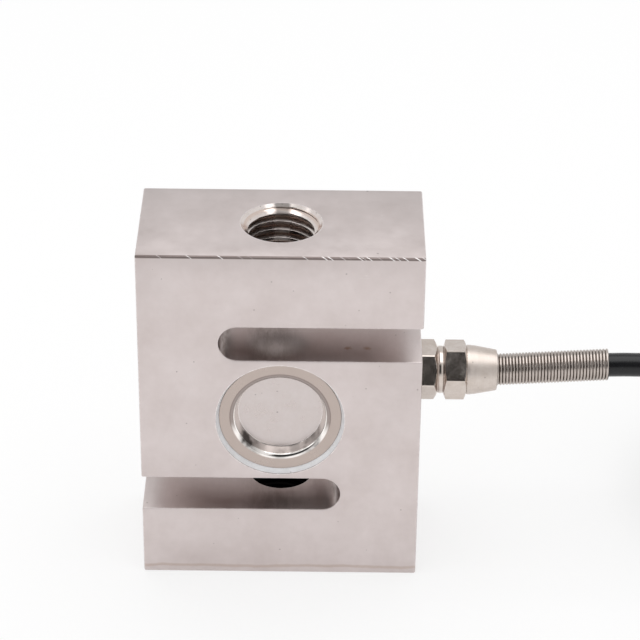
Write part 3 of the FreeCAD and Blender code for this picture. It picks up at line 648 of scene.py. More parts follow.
@dataclass
class Surface:
    """A new material with its graph and its Principled BSDF."""

    name: str
    metallic: float = 0.0
    specular: float = 0.5

    def __post_init__(self) -> None:
        """Makes the material and its shader."""
        self.material = bpy.data.materials.new(self.name)
        self.material.use_nodes = True
        self.material.node_tree.nodes.clear()
        self.graph = Graph(self.material.node_tree)
        self.shader = self.graph.add("BsdfPrincipled")
        self.graph.add("OutputMaterial", Surface=Value(self.graph, self.shader.outputs[0]))
        self.shader.inputs["Metallic"].default_value = self.metallic
        self.shader.inputs["Specular IOR Level"].default_value = self.specular

    def paint(self, colour: object, rough: object) -> None:
        """Feeds the shader its colour and roughness."""
        self.graph.feed(self.shader.inputs["Base Color"], colour)
        self.graph.feed(self.shader.inputs["Roughness"], rough)

    def emboss(self, height: Value, strength: float, distance: float) -> None:
        """Gives the surface a fine relief."""
        bump = self.graph.get("Bump", Strength=strength, Distance=distance, Height=height)
        self.graph.feed(self.shader.inputs["Normal"], bump)


@dataclass(frozen=True)
class PlatedSteel:
    """Satin nickel plating on ground steel: cloudy, with dark specks, faint scratches and worn edges, painted shade
    inside the slots and a painted dark reflection along the front top chamfer.
    """

    name: str = "plated_steel"
    colour: Colour = (0.66, 0.595, 0.585)
    shade: Colour = (0.53, 0.465, 0.45)
    speck: Colour = (0.10, 0.08, 0.07)
    edge: Colour = (0.86, 0.83, 0.82)
    stain: Colour = (0.36, 0.24, 0.16)
    # line is the colour of the painted dark reflection on the front top chamfer.
    line: Colour = (0.15, 0.115, 0.105)
    # Colour of the painted shade inside the slots.
    slot_shade_tone: Colour = (0.20, 0.15, 0.13)
    roughness: float = 0.36

    def material(self) -> bpy.types.Material:
        """Builds the finish.

        Returns:
            The material.
        """
        surface = Surface(self.name, metallic=1.0)
        graph = surface.graph
        place = graph.place()
        cloud = Effect.CLOUDS.on(graph, place, Scale=75.0, Contrast=2.2)
        spots = Effect.SPECKS.on(graph, place, Scale=1100.0, Share=0.016)
        marks = Effect.SCRATCHES.on(graph, place, Scale=55.0, Share=0.12)
        worn = Effect.WORN_EDGES.on(graph, place, Width=0.5 * MM, Scale=1500.0, Amount=0.9)
        dark, nicks = self.front_line(graph, place)
        colour = graph.layered(
            graph.blend(cloud, self.shade, self.colour),
            (self.rust(graph, place), self.stain),
            (spots * 0.45, self.speck),
            (marks * 0.18, self.edge),
            (worn, self.edge),
            # Painted shade inside the slots.
            (self.in_slots(graph, place, cloud), self.slot_shade_tone),
            # Painted dark reflection along the front top chamfer.
            (dark, self.line),
            (nicks, self.edge),
        )
        surface.paint(colour, cloud * 0.16 + (self.roughness - 0.08) - marks * 0.1)
        height = Effect.GRAIN.on(graph, place, Scale=2600.0) - marks * 0.5
        surface.emboss(height, 0.12, 0.06 * MM)
        return surface.material

    def in_slots(self, graph: Graph, place: Value, cloud: Value) -> Value:
        """Painted shade inside the slots, heaviest at their closed ends and round the load axis.

        Args:
            graph: The material's graph.
            place: The surface's place.
            cloud: The plating's clouds.

        Returns:
            The share of the painted shade.
        """
        x, y, z = graph.parts(place)
        # The painted shade is heaviest round the load axis and towards the slots' closed ends.
        heavy = abs(x + 2.0 * MM).ramp(1.0 * MM, 8.0 * MM, 0.34, 0.05)
        marks = []
        for middle, way in ((BLOCK_HEIGHT - ARM - SLOT / 2, 1.0), (ARM + SLOT / 2, -1.0)):
            from_axis = x * way
            level = abs(z - middle).fade(SLOT / 2 + 0.1 * MM, SLOT / 2 + 0.3 * MM)
            within = level * from_axis.ramp(-REACH - 0.4 * MM, -REACH - 0.1 * MM)
            marks.append(within * (heavy | from_axis.fade(1.3 * MM - REACH, 2.9 * MM - REACH, 0.55)))
        inside = abs(y).fade(HALF_DEPTH - 0.35 * MM, HALF_DEPTH - 0.1 * MM)
        streaks = graph.get("Mapping", Vector=place, Scale=(1.0, 0.25, 1.0))
        patchy = graph.noise(streaks, 900.0, 4.0, 0.7).ramp(0.3, 0.7, 0.35, 1.5) * (cloud + 0.5)
        return ((marks[0] | marks[1]) * inside).math("MULTIPLY", patchy, clamp=True)

    def front_line(self, graph: Graph, place: Value) -> tuple[Value, Value]:
        """A painted dark reflection on the chamfer along the top of the front face, and the bright slanted nicks in
        it.

        Args:
            graph: The material's graph.
            place: The surface's place.

        Returns:
            The shares of the painted dark reflection and of the nicks.
        """
        x, y, z = graph.parts(place)
        back, down = y + HALF_DEPTH, BLOCK_HEIGHT - z
        near = back | down
        cuts = graph.bands(x + (back - down) * 1.1, 1500.0, 1.0)
        fewer = x.ramp(-HALF_WIDTH, 26.0 * MM, 0.76, 0.62)
        nicks = (cuts - fewer).ramp(0.0, 0.04) * near.fade(0.4 * MM, 0.7 * MM)
        # The first share is the painted dark reflection on the chamfer.
        return near.fade(0.42 * MM, 0.58 * MM, 0.84), nicks

    def rust(self, graph: Graph, place: Value) -> Value:
        """A faint brown tide line just above the block's bottom edge, and two rust spots on a slot's floor.

        Args:
            graph: The material's graph.
            place: The surface's place.

        Returns:
            The share of the stain.
        """
        _, _, z = graph.parts(place)
        level = z - graph.noise(place, 160.0) * (1.2 * MM)
        stain = abs(level - 1.1 * MM).fade(0.1 * MM, 0.6 * MM, 0.32)
        ragged = graph.noise(place, 1400.0, 3.0, 0.7) * (2.2 * MM)
        for side in (14.3 * MM, 18.4 * MM):
            spot = (side, -9.5 * MM, BLOCK_HEIGHT - ARM - SLOT)
            gap = graph.vector("DISTANCE", "Value", place, spot)
            stain = stain | (gap + ragged).fade(1.3 * MM, 2.1 * MM, 0.7)
        return stain


@dataclass(frozen=True)
class Metal:
    """A metal with cloudy tone, specks, fine grain and bright edges."""

    name: str
    colour: Colour
    shade: Colour
    roughness: float
    scale: float = 160.0
    specks: float = 0.06
    edge: Colour = (0.9, 0.88, 0.86)
    edge_width: float = 0.25 * MM
    edge_amount: float = 0.8
    bump: float = 0.1

    def material(self) -> bpy.types.Material:
        """Builds the finish.

        Returns:
            The material.
        """
        surface = Surface(self.name, metallic=1.0)
        graph = surface.graph
        place = graph.place()
        cloud = Effect.CLOUDS.on(graph, place, Scale=self.scale, Contrast=2.0)
        spots = Effect.SPECKS.on(graph, place, Scale=1500.0, Share=self.specks)
        worn = {"Width": self.edge_width, "Scale": 1800.0, "Amount": self.edge_amount}
        colour = graph.layered(
            graph.blend(cloud, self.shade, self.colour),
            (spots * 0.5, tuple(tone * 0.3 for tone in self.shade)),
            (Effect.WORN_EDGES.on(graph, place, **worn), self.edge),
        )
        surface.paint(*self.dress(graph, place, colour, cloud * 0.14 + (self.roughness - 0.07)))
        surface.emboss(Effect.GRAIN.on(graph, place, Scale=3200.0), self.bump, 0.05 * MM)
        return surface.material

    def dress(self, graph: Graph, place: Value, colour: Value, rough: Value) -> tuple[Value, Value]:
        """Lets a finish change the colour and roughness by place. A plain metal keeps them."""
        return colour, rough


@dataclass(frozen=True)
class CoverSheet(Metal):
    """Pressed sheet of a cover: a dull warm flange, a burnished cup wall with painted dark reflections on its lower
    part, a painted dark reflection round the upper bend, a painted shade line at the crease and a paler disc.
    """

    flange: Colour = (0.455, 0.385, 0.35)
    wall: Colour = (0.86, 0.82, 0.79)
    # bend is the colour of the painted dark reflection round the cup's upper bend.
    bend: Colour = (0.24, 0.195, 0.18)
    # Colour of the painted dark reflections on the lower cup wall.
    dark_reflection: Colour = (0.10, 0.09, 0.085)

    def dress(self, graph: Graph, place: Value, colour: Value, rough: Value) -> tuple[Value, Value]:
        """Tints and polishes the sheet by its distance from the cover's axis, and paints dark reflections on the
        lower cup wall and round the upper bend, and a shade line at the crease.

        Args:
            graph: The material's graph.
            place: The surface's place.
            colour: The metal's colour so far.
            rough: Its roughness so far.

        Returns:
            The colour and the roughness to use.
        """
        from_axis = graph.vector("SUBTRACT", 0, place, (0.0, 0.0, COVER_HEIGHT))
        radius = graph.across(from_axis, (1.0, 0.0, 1.0))
        x, _, z = graph.parts(from_axis)
        side = abs(x)
        outside = radius.ramp(10.5 * MM, 10.8 * MM)
        drawn = radius.ramp(8.92 * MM, 9.12 * MM)
        # ring is a painted dark reflection round the upper part and sides of the bend.
        ring = abs(radius - 10.43 * MM).fade(0.38 * MM, 0.5 * MM, 0.9) * z.ramp(-4.5 * MM, -1.0 * MM)
        # Painted dark reflections at the sides and middle of the lower cup wall, broken up by noise.
        reflection_areas = side.ramp(3.6 * MM, 5.8 * MM) * side.fade(8.0 * MM, 9.1 * MM)
        reflection_areas = reflection_areas * x.ramp(-2.0 * MM, 2.0 * MM, 1.0, 0.72) | side.fade(0.4 * MM, 2.2 * MM, 0.45)
        # A painted shade line along the crease at the disc's edge.
        crease_shade = radius.fade(9.07 * MM, 9.22 * MM, 0.85) * side.fade(3.0 * MM, 5.5 * MM)
        mottled = graph.noise(from_axis, 420.0, 3.0).ramp(0.35, 0.62, 1.0, 0.45)
        painted_reflections = (reflection_areas * mottled | crease_shade) * z.fade(-3.5 * MM, -2.0 * MM)
        wall = graph.blend(painted_reflections, self.wall, self.dark_reflection)
        colour = graph.layered(colour, (drawn, wall), (outside, self.flange), (ring, self.bend))
        return colour, rough - (drawn - outside) * 0.2


@dataclass(frozen=True)
class TurnedBrass(Metal):
    """Nickel plated brass: smooth bright flats, and fine lathe lines on the round collar and nose."""

    turned_from: float = 40.2 * MM

    def dress(self, graph: Graph, place: Value, colour: Value, rough: Value) -> tuple[Value, Value]:
        """Makes the turned part a little duller, in fine rings round the axis.

        Args:
            graph: The material's graph.
            place: The surface's place.
            colour: The metal's colour so far.
            rough: Its roughness so far.

        Returns:
            The colour and the roughness to use.
        """
        x, _, _ = graph.parts(place)
        rings = graph.bands(x, 6000.0, 2.0).ramp(0.3, 0.7, 0.14, 0.3)
        return colour, rough + x.ramp(self.turned_from, self.turned_from + 0.1 * MM) * rings


@dataclass(frozen=True)
class CutThread(Metal):
    """A freshly cut thread: bright crests and mouth, painted shade in the roots and far down the holes, and a
    painted dark reflection at the rear of the upper mouth.
    """

    # root is the colour of the painted shade in the roots; deep is that of the painted shade far down the holes and
    # of the painted dark reflection at the rear.
    root: Colour = (0.66, 0.54, 0.48)
    deep: Colour = (0.012, 0.01, 0.009)

    def dress(self, graph: Graph, place: Value, colour: Value, rough: Value) -> tuple[Value, Value]:
        """Paints shade into the thread's roots by distance from the load axis and far down the holes by depth, and
        a dark reflection at the rear of the upper mouth. The lower hole darkens sooner.

        Args:
            graph: The material's graph.
            place: The surface's place.
            colour: The metal's colour so far.
            rough: Its roughness so far.

        Returns:
            The colour and the roughness to use.
        """
        radius = graph.across(place, (1.0, 1.0, 0.0))
        x, y, z = graph.parts(place)
        # Painted shade in the thread's roots.
        root = radius.ramp(7.2 * MM, 7.8 * MM, 0.0, 0.8) * radius.fade(8.03 * MM, 8.1 * MM)
        ragged = graph.noise(place, 900.0) * (1.2 * MM)
        # A painted dark reflection at the rear of the upper hole's mouth.
        rear_reflection = (abs(x) + ragged).fade(1.7 * MM, 2.8 * MM, 0.6)
        rear_reflection = rear_reflection * z.ramp(76.8 * MM, 78.2 * MM, 0.3, 1.0) * y.ramp(4.0 * MM, 5.0 * MM)
        # Painted shade that grows with depth into the holes.
        depth = (z * 2.4).math("MINIMUM", BLOCK_HEIGHT - z)
        dark = depth.ramp(9.8 * MM, 13.3 * MM) | rear_reflection
        return graph.layered(colour, (root, self.root), (dark * 0.98, self.deep)), rough + dark * 0.6


@dataclass(frozen=True)
class Plastic:
    """A rubber, plastic, film or lacquer with clouds, dust specks and fine grain."""

    name: str
    colour: Colour
    shade: Colour
    roughness: float
    scale: float = 200.0
    grain: float = 3000.0
    bump: float = 0.15
    dust: Colour = (0.5, 0.5, 0.5)
    dusty: float = 0.1
    coat: float = 0.0
    specular: float = 0.5

    def material(self) -> bpy.types.Material:
        """Builds the finish.

        Returns:
            The material.
        """
        surface = Surface(self.name, specular=self.specular)
        surface.shader.inputs["Coat Weight"].default_value = self.coat
        graph = surface.graph
        place = graph.place()
        cloud = Effect.CLOUDS.on(graph, place, Scale=self.scale, Contrast=1.8)
        spots = Effect.SPECKS.on(graph, place, Scale=1300.0, Share=0.1)
        colour = graph.blend(cloud, self.shade, self.colour)
        colour = graph.blend(spots * self.dusty, colour, self.dust)
        surface.paint(colour, cloud * 0.12 + (self.roughness - 0.06))
        surface.emboss(Effect.GRAIN.on(graph, place, Scale=self.grain), self.bump, 0.1 * MM)
        return surface.material


@dataclass(frozen=True)
class Strap:
    """Woven hook and loop strap."""

    name: str = "strap"
    colour: Colour = (0.035, 0.036, 0.04)
    shade: Colour = (0.012, 0.012, 0.014)

    def material(self) -> bpy.types.Material:
        """Builds the finish.

        Returns:
            The material.
        """
        surface = Surface(self.name)
        surface.shader.inputs["Sheen Weight"].default_value = 0.3
        graph = surface.graph
        place = graph.place()
        settings = {"feature": "SMOOTH_F1"}
        weave = graph.get("TexVoronoi", "Distance", settings, Vector=place, Scale=1700.0, Smoothness=0.4)
        fuzz = graph.noise(place, 4200.0, 4.0, 0.7)
        tone = (weave + fuzz).math("MULTIPLY", 0.7, clamp=True)
        surface.paint(graph.blend(tone, self.shade, self.colour), fuzz.ramp(0.2, 0.8, 0.75, 0.95))
        surface.emboss(weave + fuzz, 0.5, 0.3 * MM)
        return surface.material


# The object


@dataclass
class Block:
    """The S shaped spring element, with its slots, threaded load holes and seats for the covers."""

    half_width: float = HALF_WIDTH
    half_depth: float = HALF_DEPTH
    height: float = BLOCK_HEIGHT
    arm: float = ARM
    slot: float = SLOT
    reach: float = REACH
    edge_break: float = 0.35 * MM
    hole_radius: float = 7.0 * MM
    thread_depth: float = 1.0 * MM
    thread_pitch: float = 2.0 * MM
    mouth: float = 1.65 * MM
    lip: float = 0.5 * MM
    seat_radius: float = 13.75 * MM
    seat_depth: float = 1.5 * MM
    pocket_radius: float = 11.5 * MM
    web: float = 3.0 * MM
    passage_start: float = 8.5 * MM
    passage_radius: float = 3.0 * MM
    shank_hole_start: float = 22.0 * MM
    shank_hole_radius: float = 3.5 * MM
    cable_height: float = CABLE_HEIGHT
    steps: int = 128

    def outline(self) -> Section:
        """Gives the S as (x, z) points, counterclockwise from the lower left corner.

        Returns:
            The outline's points.
        """
        width, high = self.half_width, self.height - self.arm - self.slot
        radius = self.slot / 2
        points = [(-width, 0.0), (width, 0.0), (width, high)]
        points += self.slot_end(radius - self.reach, high + radius, -1)
        points += [(width, high + self.slot), (width, self.height), (-width, self.height)]
        points.append((-width, self.arm + self.slot))
        points += self.slot_end(self.reach - radius, self.arm + radius, 1)
        points.append((-width, self.arm))
        return points

    def slot_end(self, x: float, z: float, side: int) -> Section:
        """Gives the half round end of a slot.

        Args:
            x: Middle of the half round.
            z: Middle of the half round.
            side: 1 where it points to +X, -1 where it points to -X.

        Returns:
            Its points, in the outline's order.
        """
        radius, count = self.slot / 2, 28
        turns = [math.pi * step / count for step in range(count + 1)]
        return [(x + side * radius * math.sin(a), z + side * radius * math.cos(a)) for a in turns]

    def bar(self) -> bpy.types.Object:
        """Makes the S with its small edge breaks, before any hole.

        Returns:
            The new piece.
        """
        shape = bmesh.new()
        front, rear = (
            [shape.verts.new((x, y, z)) for x, z in self.outline()] for y in (-self.half_depth, self.half_depth)
        )
        shape.faces.new(front)
        shape.faces.new(list(reversed(rear)))
        for index in range(len(front)):
            after = (index + 1) % len(front)
            shape.faces.new((front[after], front[index], rear[index], rear[after]))
        bmesh.ops.recalc_face_normals(shape, faces=shape.faces)
        same = 1e-7
        corners = []
        for edge in shape.edges:
            first, last = (vert.co for vert in edge.verts)
            along_face = abs(first.y - last.y) < same
            at_side = all(abs(abs(end.x) - self.half_width) < same for end in (first, last))
            if along_face or at_side and abs(first.z - last.z) < same:
                corners.append(edge)
        rounding = {"segments": 2, "profile": 0.5, "affect": "EDGES", "clamp_overlap": True}
        bmesh.ops.bevel(shape, geom=corners, offset=self.edge_break, **rounding)
        mesh = bpy.data.meshes.new("s_block_body")
        shape.to_mesh(mesh)
        shape.free()
        return placed("s_block_body", mesh)

    def tools(self) -> list[bpy.types.Object]:
        """Makes the cutters for the load holes, cover seats, gauge pockets and cable hole.

        Returns:
            The cutters.
        """
        clear = 1.0 * MM
        mouth = (self.hole_radius + self.mouth, self.arm - self.lip)
        load_hole = stepped(-clear, mouth, (self.hole_radius, self.arm + self.slot / 2))
        made = [
            turned("low", load_hole, Axis.Z, segments=self.steps),
            turned("high", [(self.height - z, r) for z, r in load_hole], Axis.Z, segments=self.steps),
        ]
        pocket = (self.pocket_radius, self.half_depth - self.seat_depth)
        seat = stepped(self.web / 2, pocket, (self.seat_radius, self.half_depth + clear))
        middle = (0.0, 0.0, self.height / 2)
        for side in (-1, 1):
            profile = [(side * along, radius) for along, radius in seat]
            made.append(turned("seat", profile, Axis.Y, middle, segments=self.steps))
        passage = (self.passage_radius, self.shank_hole_start)
        side_hole = stepped(self.passage_start, passage, (self.shank_hole_radius, self.half_width + clear))
        made.append(turned("side_hole", side_hole, Axis.X, (0, 0, self.cable_height), segments=48))
        return made

    def thread(self, name: str, face: float, inward: int) -> bpy.types.Object:
        """Makes the wall of a load hole: a countersunk mouth and a real helical thread.

        Args:
            name: The piece's name.
            face: Height of the face that the hole opens in.
            inward: Sign of Z on the way into the hole.

        Returns:
            The new piece.
        """
        per_pitch, columns = 16, self.steps
        outside = self.hole_radius + self.mouth
        turns = int(self.arm / self.thread_pitch) + 3

        def profile(phase: float) -> float:
            """Gives the thread's radius at a share of its pitch: crest, flank, root, flank.

            Args:
                phase: The share of the pitch.

            Returns:
                The radius.
            """
            crest, root_start, root_end = 0.25, 0.535, 0.715
            if phase < crest:
                return self.hole_radius
            if phase < root_start:
                return self.hole_radius + self.thread_depth * (phase - crest) / (root_start - crest)
            if phase < root_end:
                return self.hole_radius + self.thread_depth
            return self.hole_radius + self.thread_depth * (1.0 - phase) / (1.0 - root_end)

        def at(row: int, column: int) -> Point:
            """Gives one point of the wall. Rows follow the helix.

            Args:
                row: The point's row.
                column: Its place in that row.

            Returns:
                The point.
            """
            phase = (row % per_pitch) / per_pitch
            deep = self.thread_pitch * (row / per_pitch - 1.0 + column / columns)
            radius = max(profile(phase), outside - max(deep, 0.0))
            if deep <= 0.0:
                deep, radius = 0.0, outside
            if deep >= self.arm - self.lip:
                deep, radius = self.arm - self.lip, self.hole_radius
            radius += 0.012 * MM * wander((column * 0.3, deep / MM, phase), 3.0)
            angle = math.tau * column / columns
            return (radius * math.cos(angle), inward * radius * math.sin(angle), face + inward * deep)

        points, faces = sheet_of(turns * per_pitch, columns + 1, at, closed=False)
        return piece(name, points, faces, 35.0)

    def build(self, finish: bpy.types.Material, threaded: bpy.types.Material) -> None:
        """Builds the block and the walls of its two load holes.

        Args:
            finish: Material of the bar.
            threaded: Material of the holes' walls.
        """
        body = self.bar()
        cut(body, self.tools())
        show(body, finish, "plated_steel", "s_block")
        for name, face, inward in (("upper_thread", self.height, -1), ("lower_thread", 0.0, 1)):
            show(self.thread(name, face, inward), threaded, "plated_steel")


@dataclass
class Cover:
    """A pressed sheet cover: a flange, a soft bend, a tapered cup wall and a flat disc."""

    flange_radius: float = 13.1 * MM
    flange: float = 14.0 * MM
    thickness: float = 0.5 * MM
    cup_depth: float = 2.6 * MM
    disc_radius: float = 8.95 * MM
    bend: float = 1.05 * MM
    crease: float = 0.18 * MM
    wall_lean: float = 15.0
    middle: float = COVER_HEIGHT

    def profile(self) -> Section:
        """Gives the sheet's closed section as (distance from the block's middle, radius).

        Returns:
            The section's points.
        """
        lean = math.radians(self.wall_lean)
        sweep = math.pi / 2 - lean
        floor = self.flange - self.cup_depth
        wall = (self.cup_depth - (self.bend + self.crease) * (1 - math.cos(sweep))) / math.cos(lean)
        mouth = self.disc_radius + (self.crease + self.bend) * math.sin(sweep) + wall * math.sin(lean)

        def arc(along: float, radius: float, size: float, first: float, last: float) -> Section:
            """Gives the points of one bend of the section. A negative size bends the other way."""
            turns = [first + (last - first) * step / 10 for step in range(11)]
            return [(along + size * math.cos(turn), radius - size * math.sin(turn)) for turn in turns]

        soft = 0.08 * MM
        edge = self.flange_radius
        back = self.flange - self.thickness
        bend_middle = (self.flange - self.bend, mouth)
        crease_middle = (floor + self.crease, self.disc_radius)
        points = [(floor, 0.0), (floor, self.disc_radius * 0.5)]
        points += arc(*crease_middle, -self.crease, 0.0, sweep)
        points += arc(*bend_middle, self.bend, sweep, 0.0)
        points += [(self.flange, edge - soft), (self.flange - soft, edge), (back + soft, edge), (back, edge - soft)]
        points += arc(*bend_middle, self.bend - self.thickness, 0.0, sweep)
        points += arc(*crease_middle, -(self.crease + self.thickness), sweep, 0.0)
        return [*points, (floor - self.thickness, 0.0)]

    def build(self, name: str, side: int, finish: bpy.types.Material, node: str) -> None:
        """Builds one cover.

        Args:
            name: The piece's name.
            side: -1 for the front, 1 for the rear.
            finish: Its material.
            node: The CAD node that it stands for.
        """
        profile = [(side * along, radius) for along, radius in self.profile()]
        made = turned(name, profile, Axis.Y, (0.0, 0.0, self.middle), segments=192, closed=False, angle=24.0)
        show(made, finish, "pressed_steel", node)


@dataclass
class CoverSeal:
    """The uneven fillet of sealant round a cover, from its flange up to the block's face."""

    inside: float = 13.12 * MM
    outside: float = 13.76 * MM
    floor: float = 13.9 * MM
    top: float = 14.8 * MM
    middle: float = 40.0 * MM
    off_middle: float = 0.2 * MM

    def build(self, name: str, side: int, finish: bpy.types.Material, node: str) -> None:
        """Builds one bead.

        Args:
            name: The piece's name.
            side: -1 for the front, 1 for the rear.
            finish: Its material.
            node: The CAD node that it stands for.
        """
        around, across = 200, 12

        def at(row: int, column: int) -> Point:
            """Gives one point of the bead, from the flange up to the edge of its seat.

            Args:
                row: The point's row.
                column: Its place in that row.

            Returns:
                The point.
            """
            angle = math.tau * column / around
            spot = (math.cos(angle) * 9, math.sin(angle) * 9, side * 3.0)
            swell = 0.09 * MM * wander(spot, 1.6) + 0.04 * MM * wander(spot, 0.5, 4.0)
            share = row / (across - 1)
            radius = self.inside + (self.outside - self.inside) * share
            shift = self.off_middle * (1.0 - share)
            rise = (self.top - self.floor) * (1.15 * share - 0.15 * share**3)
            depth = self.floor + rise + swell * math.sin(math.pi * share)
            return (radius * math.cos(angle), side * depth, self.middle + shift + radius * math.sin(angle))

        points, faces = sheet_of(across, around, at)
        show(piece(name, points, faces, 60.0), finish, "sealant", node)


@dataclass
class Gland:
    """The cable gland: a body with a hexagon, a nut with a collar and a tapered nose.

    Each turn says how far a hexagon's front flat looks up, in degrees.
    """

    side: float = HALF_WIDTH
    height: float = CABLE_HEIGHT
    across_flats: float = 11.5 * MM
    rounding: float = 0.22 * MM
    bore: float = 2.8 * MM
    hexagon: float = 3.9 * MM
    body_turn: float = 27.0
    body_chamfer: float = 0.9 * MM
    chamfer_end: float = 5.3 * MM
    neck_radius: float = 5.2 * MM
    neck: float = 1.3 * MM
    shank_radius: float = 3.48 * MM
    shank: float = 8.0 * MM
    barrel_radius: float = 4.38 * MM
    barrel: float = 4.2 * MM
    nut_hexagon: float = 5.0 * MM
    nut_turn: float = 39.7
    nut_chamfer: float = 0.6 * MM
    collar_radius: float = 5.4 * MM
    collar: float = 1.2 * MM
    nose: float = 5.4 * MM
    nose_radius: float = 4.43 * MM
    seat_radius: float = 3.65 * MM
    seat_depth: float = 1.6 * MM

    def hexagon_radius(self, angle: float) -> float:
        """Gives the distance from the axis to a hexagon's side, with its corners rounded a little.

        Args:
            angle: Angle from the middle of a side, in radians.

        Returns:
            The distance.
        """
        flat = self.across_flats / 2
        lean = (angle + math.pi / 6) % (math.pi / 3) - math.pi / 6
        plain = flat / math.cos(lean)
        beside = flat / math.cos(math.pi / 3 - abs(lean))
        sharp = self.rounding * 0.35
        return plain - sharp * math.exp(-(beside - plain) / sharp) if beside - plain < 8 * sharp else plain

    def stations(self, start: float, end: float, chamfer_low: float, chamfer_high: float) -> Section:
        """Gives a hexagon's stations along the axis, each with the largest radius there.

        Args:
            start: Where the hexagon starts.
            end: Where it ends.
            chamfer_low: Length of the chamfer at its start, or 0.
            chamfer_high: Length of the chamfer at its end, or 0.

        Returns:
            (along, largest radius) pairs.
        """
        corner = self.across_flats / math.sqrt(3) + 0.1 * MM
        rise = corner - self.chamfer_end
        length = end - chamfer_high - start - chamfer_low
        shares = [step / 18 for step in range(19)]
        low, high = [(start, corner)], [(end, corner)]
        if chamfer_low:
            low = [(start + chamfer_low * share, self.chamfer_end + rise * share) for share in shares]
        if chamfer_high:
            high = [(end - chamfer_high * (1 - share), corner - rise * share) for share in shares]
        flat = [(start + chamfer_low + length * step / 6, corner) for step in range(1, 6)]
        return low + flat + high

    def bar(self, name: str, loop: list[tuple[float, float, bool]], turn: float) -> bpy.types.Object:
        """Makes a turned and partly hexagonal piece round the gland's axis.

        Args:
            name: The piece's name.
            loop: Closed profile of (along, radius, whether it is a hexagon limited to that radius).
            turn: How far the hexagon's front flat looks up, in degrees.

        Returns:
            The new piece.
        """
        around = 192
        shift = math.radians(180.0 - turn)
        closed = [*loop, loop[0]]

        def at(row: int, column: int) -> Point:
            """Gives one point of the surface.

            Args:
                row: The point's row.
                column: Its place in that row.

            Returns:
                The point.
            """
            along, radius, six_sided = closed[row]
            angle = math.tau * column / around
            if six_sided:
                radius = min(radius, self.hexagon_radius(angle - shift))
            radius += 0.006 * MM * wander((angle * 3, along / MM, 1.0), 1.3)
            return (self.side + along, radius * math.cos(angle), self.height + radius * math.sin(angle))

        points, faces = sheet_of(len(closed), around, at)
        return piece(name, points, faces, 28.0)

    def build(self, finish: bpy.types.Material) -> None:
        """Builds the gland's body and nut.

        Args:
            finish: Its material.
        """
        neck_end = self.hexagon + self.neck
        barrel_end = neck_end + self.barrel
        nut_end = neck_end + self.nut_hexagon
        collar_end = nut_end + self.collar
        nose_end = collar_end + self.nose
        round_off, softened, play = 0.12 * MM, 0.08 * MM, 0.02 * MM
        taper = self.nose_radius - self.collar_radius
        cone = [(collar_end + self.nose * step / 9, self.collar_radius + taper * step / 9) for step in range(1, 9)]

        def ring(*points: tuple[float, float], six_sided: bool = False) -> list[tuple[float, float, bool]]:
            """Marks points of a profile as round or as a hexagon's."""
            return [(along, radius, six_sided) for along, radius in points]

        body = [
            *ring((-self.shank, self.bore), (-self.shank, self.shank_radius), (0, self.shank_radius)),
            *ring(*self.stations(0, self.hexagon, 0, self.body_chamfer), six_sided=True),
            *ring(
                (self.hexagon, self.neck_radius),
                (self.hexagon + 0.02 * MM, self.neck_radius - round_off),
                (self.hexagon + 0.25 * MM, self.neck_radius - 0.03 * MM),
                (self.hexagon + 0.45 * MM, self.neck_radius),
                (neck_end - 0.3 * MM, self.neck_radius),
                (neck_end - 0.05 * MM, self.neck_radius - round_off),
                (neck_end - 0.05 * MM, self.barrel_radius),
                (barrel_end, self.barrel_radius),
                (barrel_end, self.bore),
            ),
        ]
        nut = [
            *ring((neck_end, self.barrel_radius + play)),
            *ring(*self.stations(neck_end, nut_end, self.nut_chamfer, self.nut_chamfer), six_sided=True),
            *ring(
                (nut_end, self.collar_radius - softened),
                (nut_end + 0.1 * MM, self.collar_radius),
                (collar_end - 0.25 * MM, self.collar_radius),
                (collar_end, self.collar_radius - softened),
                *cone,
                (nose_end - round_off, self.nose_radius + 0.01 * MM),
                (nose_end, self.nose_radius - round_off),
                (nose_end, self.seat_radius + 0.1 * MM),
                (nose_end - 0.1 * MM, self.seat_radius),
                (nose_end - self.seat_depth, self.seat_radius),
                (nose_end - self.seat_depth, self.bore),
                (barrel_end + 0.8 * MM, self.bore),
                (barrel_end + 0.8 * MM, self.barrel_radius + play),
            ),
        ]
        show(self.bar("gland_body_dressed", body, self.body_turn), finish, "plated_brass", "gland_body")
        show(self.bar("gland_nut_dressed", nut, self.nut_turn), finish, "plated_brass", "gland_nut")


@dataclass
class Spring:
    """The close-wound strain relief spring on the cable."""

    start: Point = (45.2 * MM, 0.0, CABLE_HEIGHT)
    lift: float = 3.8
    length: float = 26.2 * MM
    radius: float = 3.5 * MM
    wire: float = 0.66 * MM
    pitch: float = 0.698 * MM

    def build(self, finish: bpy.types.Material) -> None:
        """Builds the spring as one helical wire.

        Args:
            finish: Its material.
        """
        lean = math.radians(self.lift)
        heading = Vector((math.cos(lean), 0.0, math.sin(lean)))
        rise = Vector((-math.sin(lean), 0.0, math.cos(lean)))
        across = heading.cross(rise)
        middle = self.radius - self.wire / 2
        per_turn = 28
        count = int((math.floor((self.length - self.wire) / self.pitch - 0.5) + 0.5) * per_turn)
        line = []
        for step in range(count + 1):
            angle = math.tau * step / per_turn
            along = self.pitch * step / per_turn + self.wire / 2
            loose = 1.0 + 0.004 * wander((along / MM, 0.0, 0.0), 2.0)
            point = Vector(self.start) + heading * along
            line.append(point + (across * math.cos(angle) + rise * math.sin(angle)) * middle * loose)
        made = swept("spring_wire", line, lambda share: self.wire / 2, 10)
        show(made, finish, "spring_steel", "strain_relief_spring")


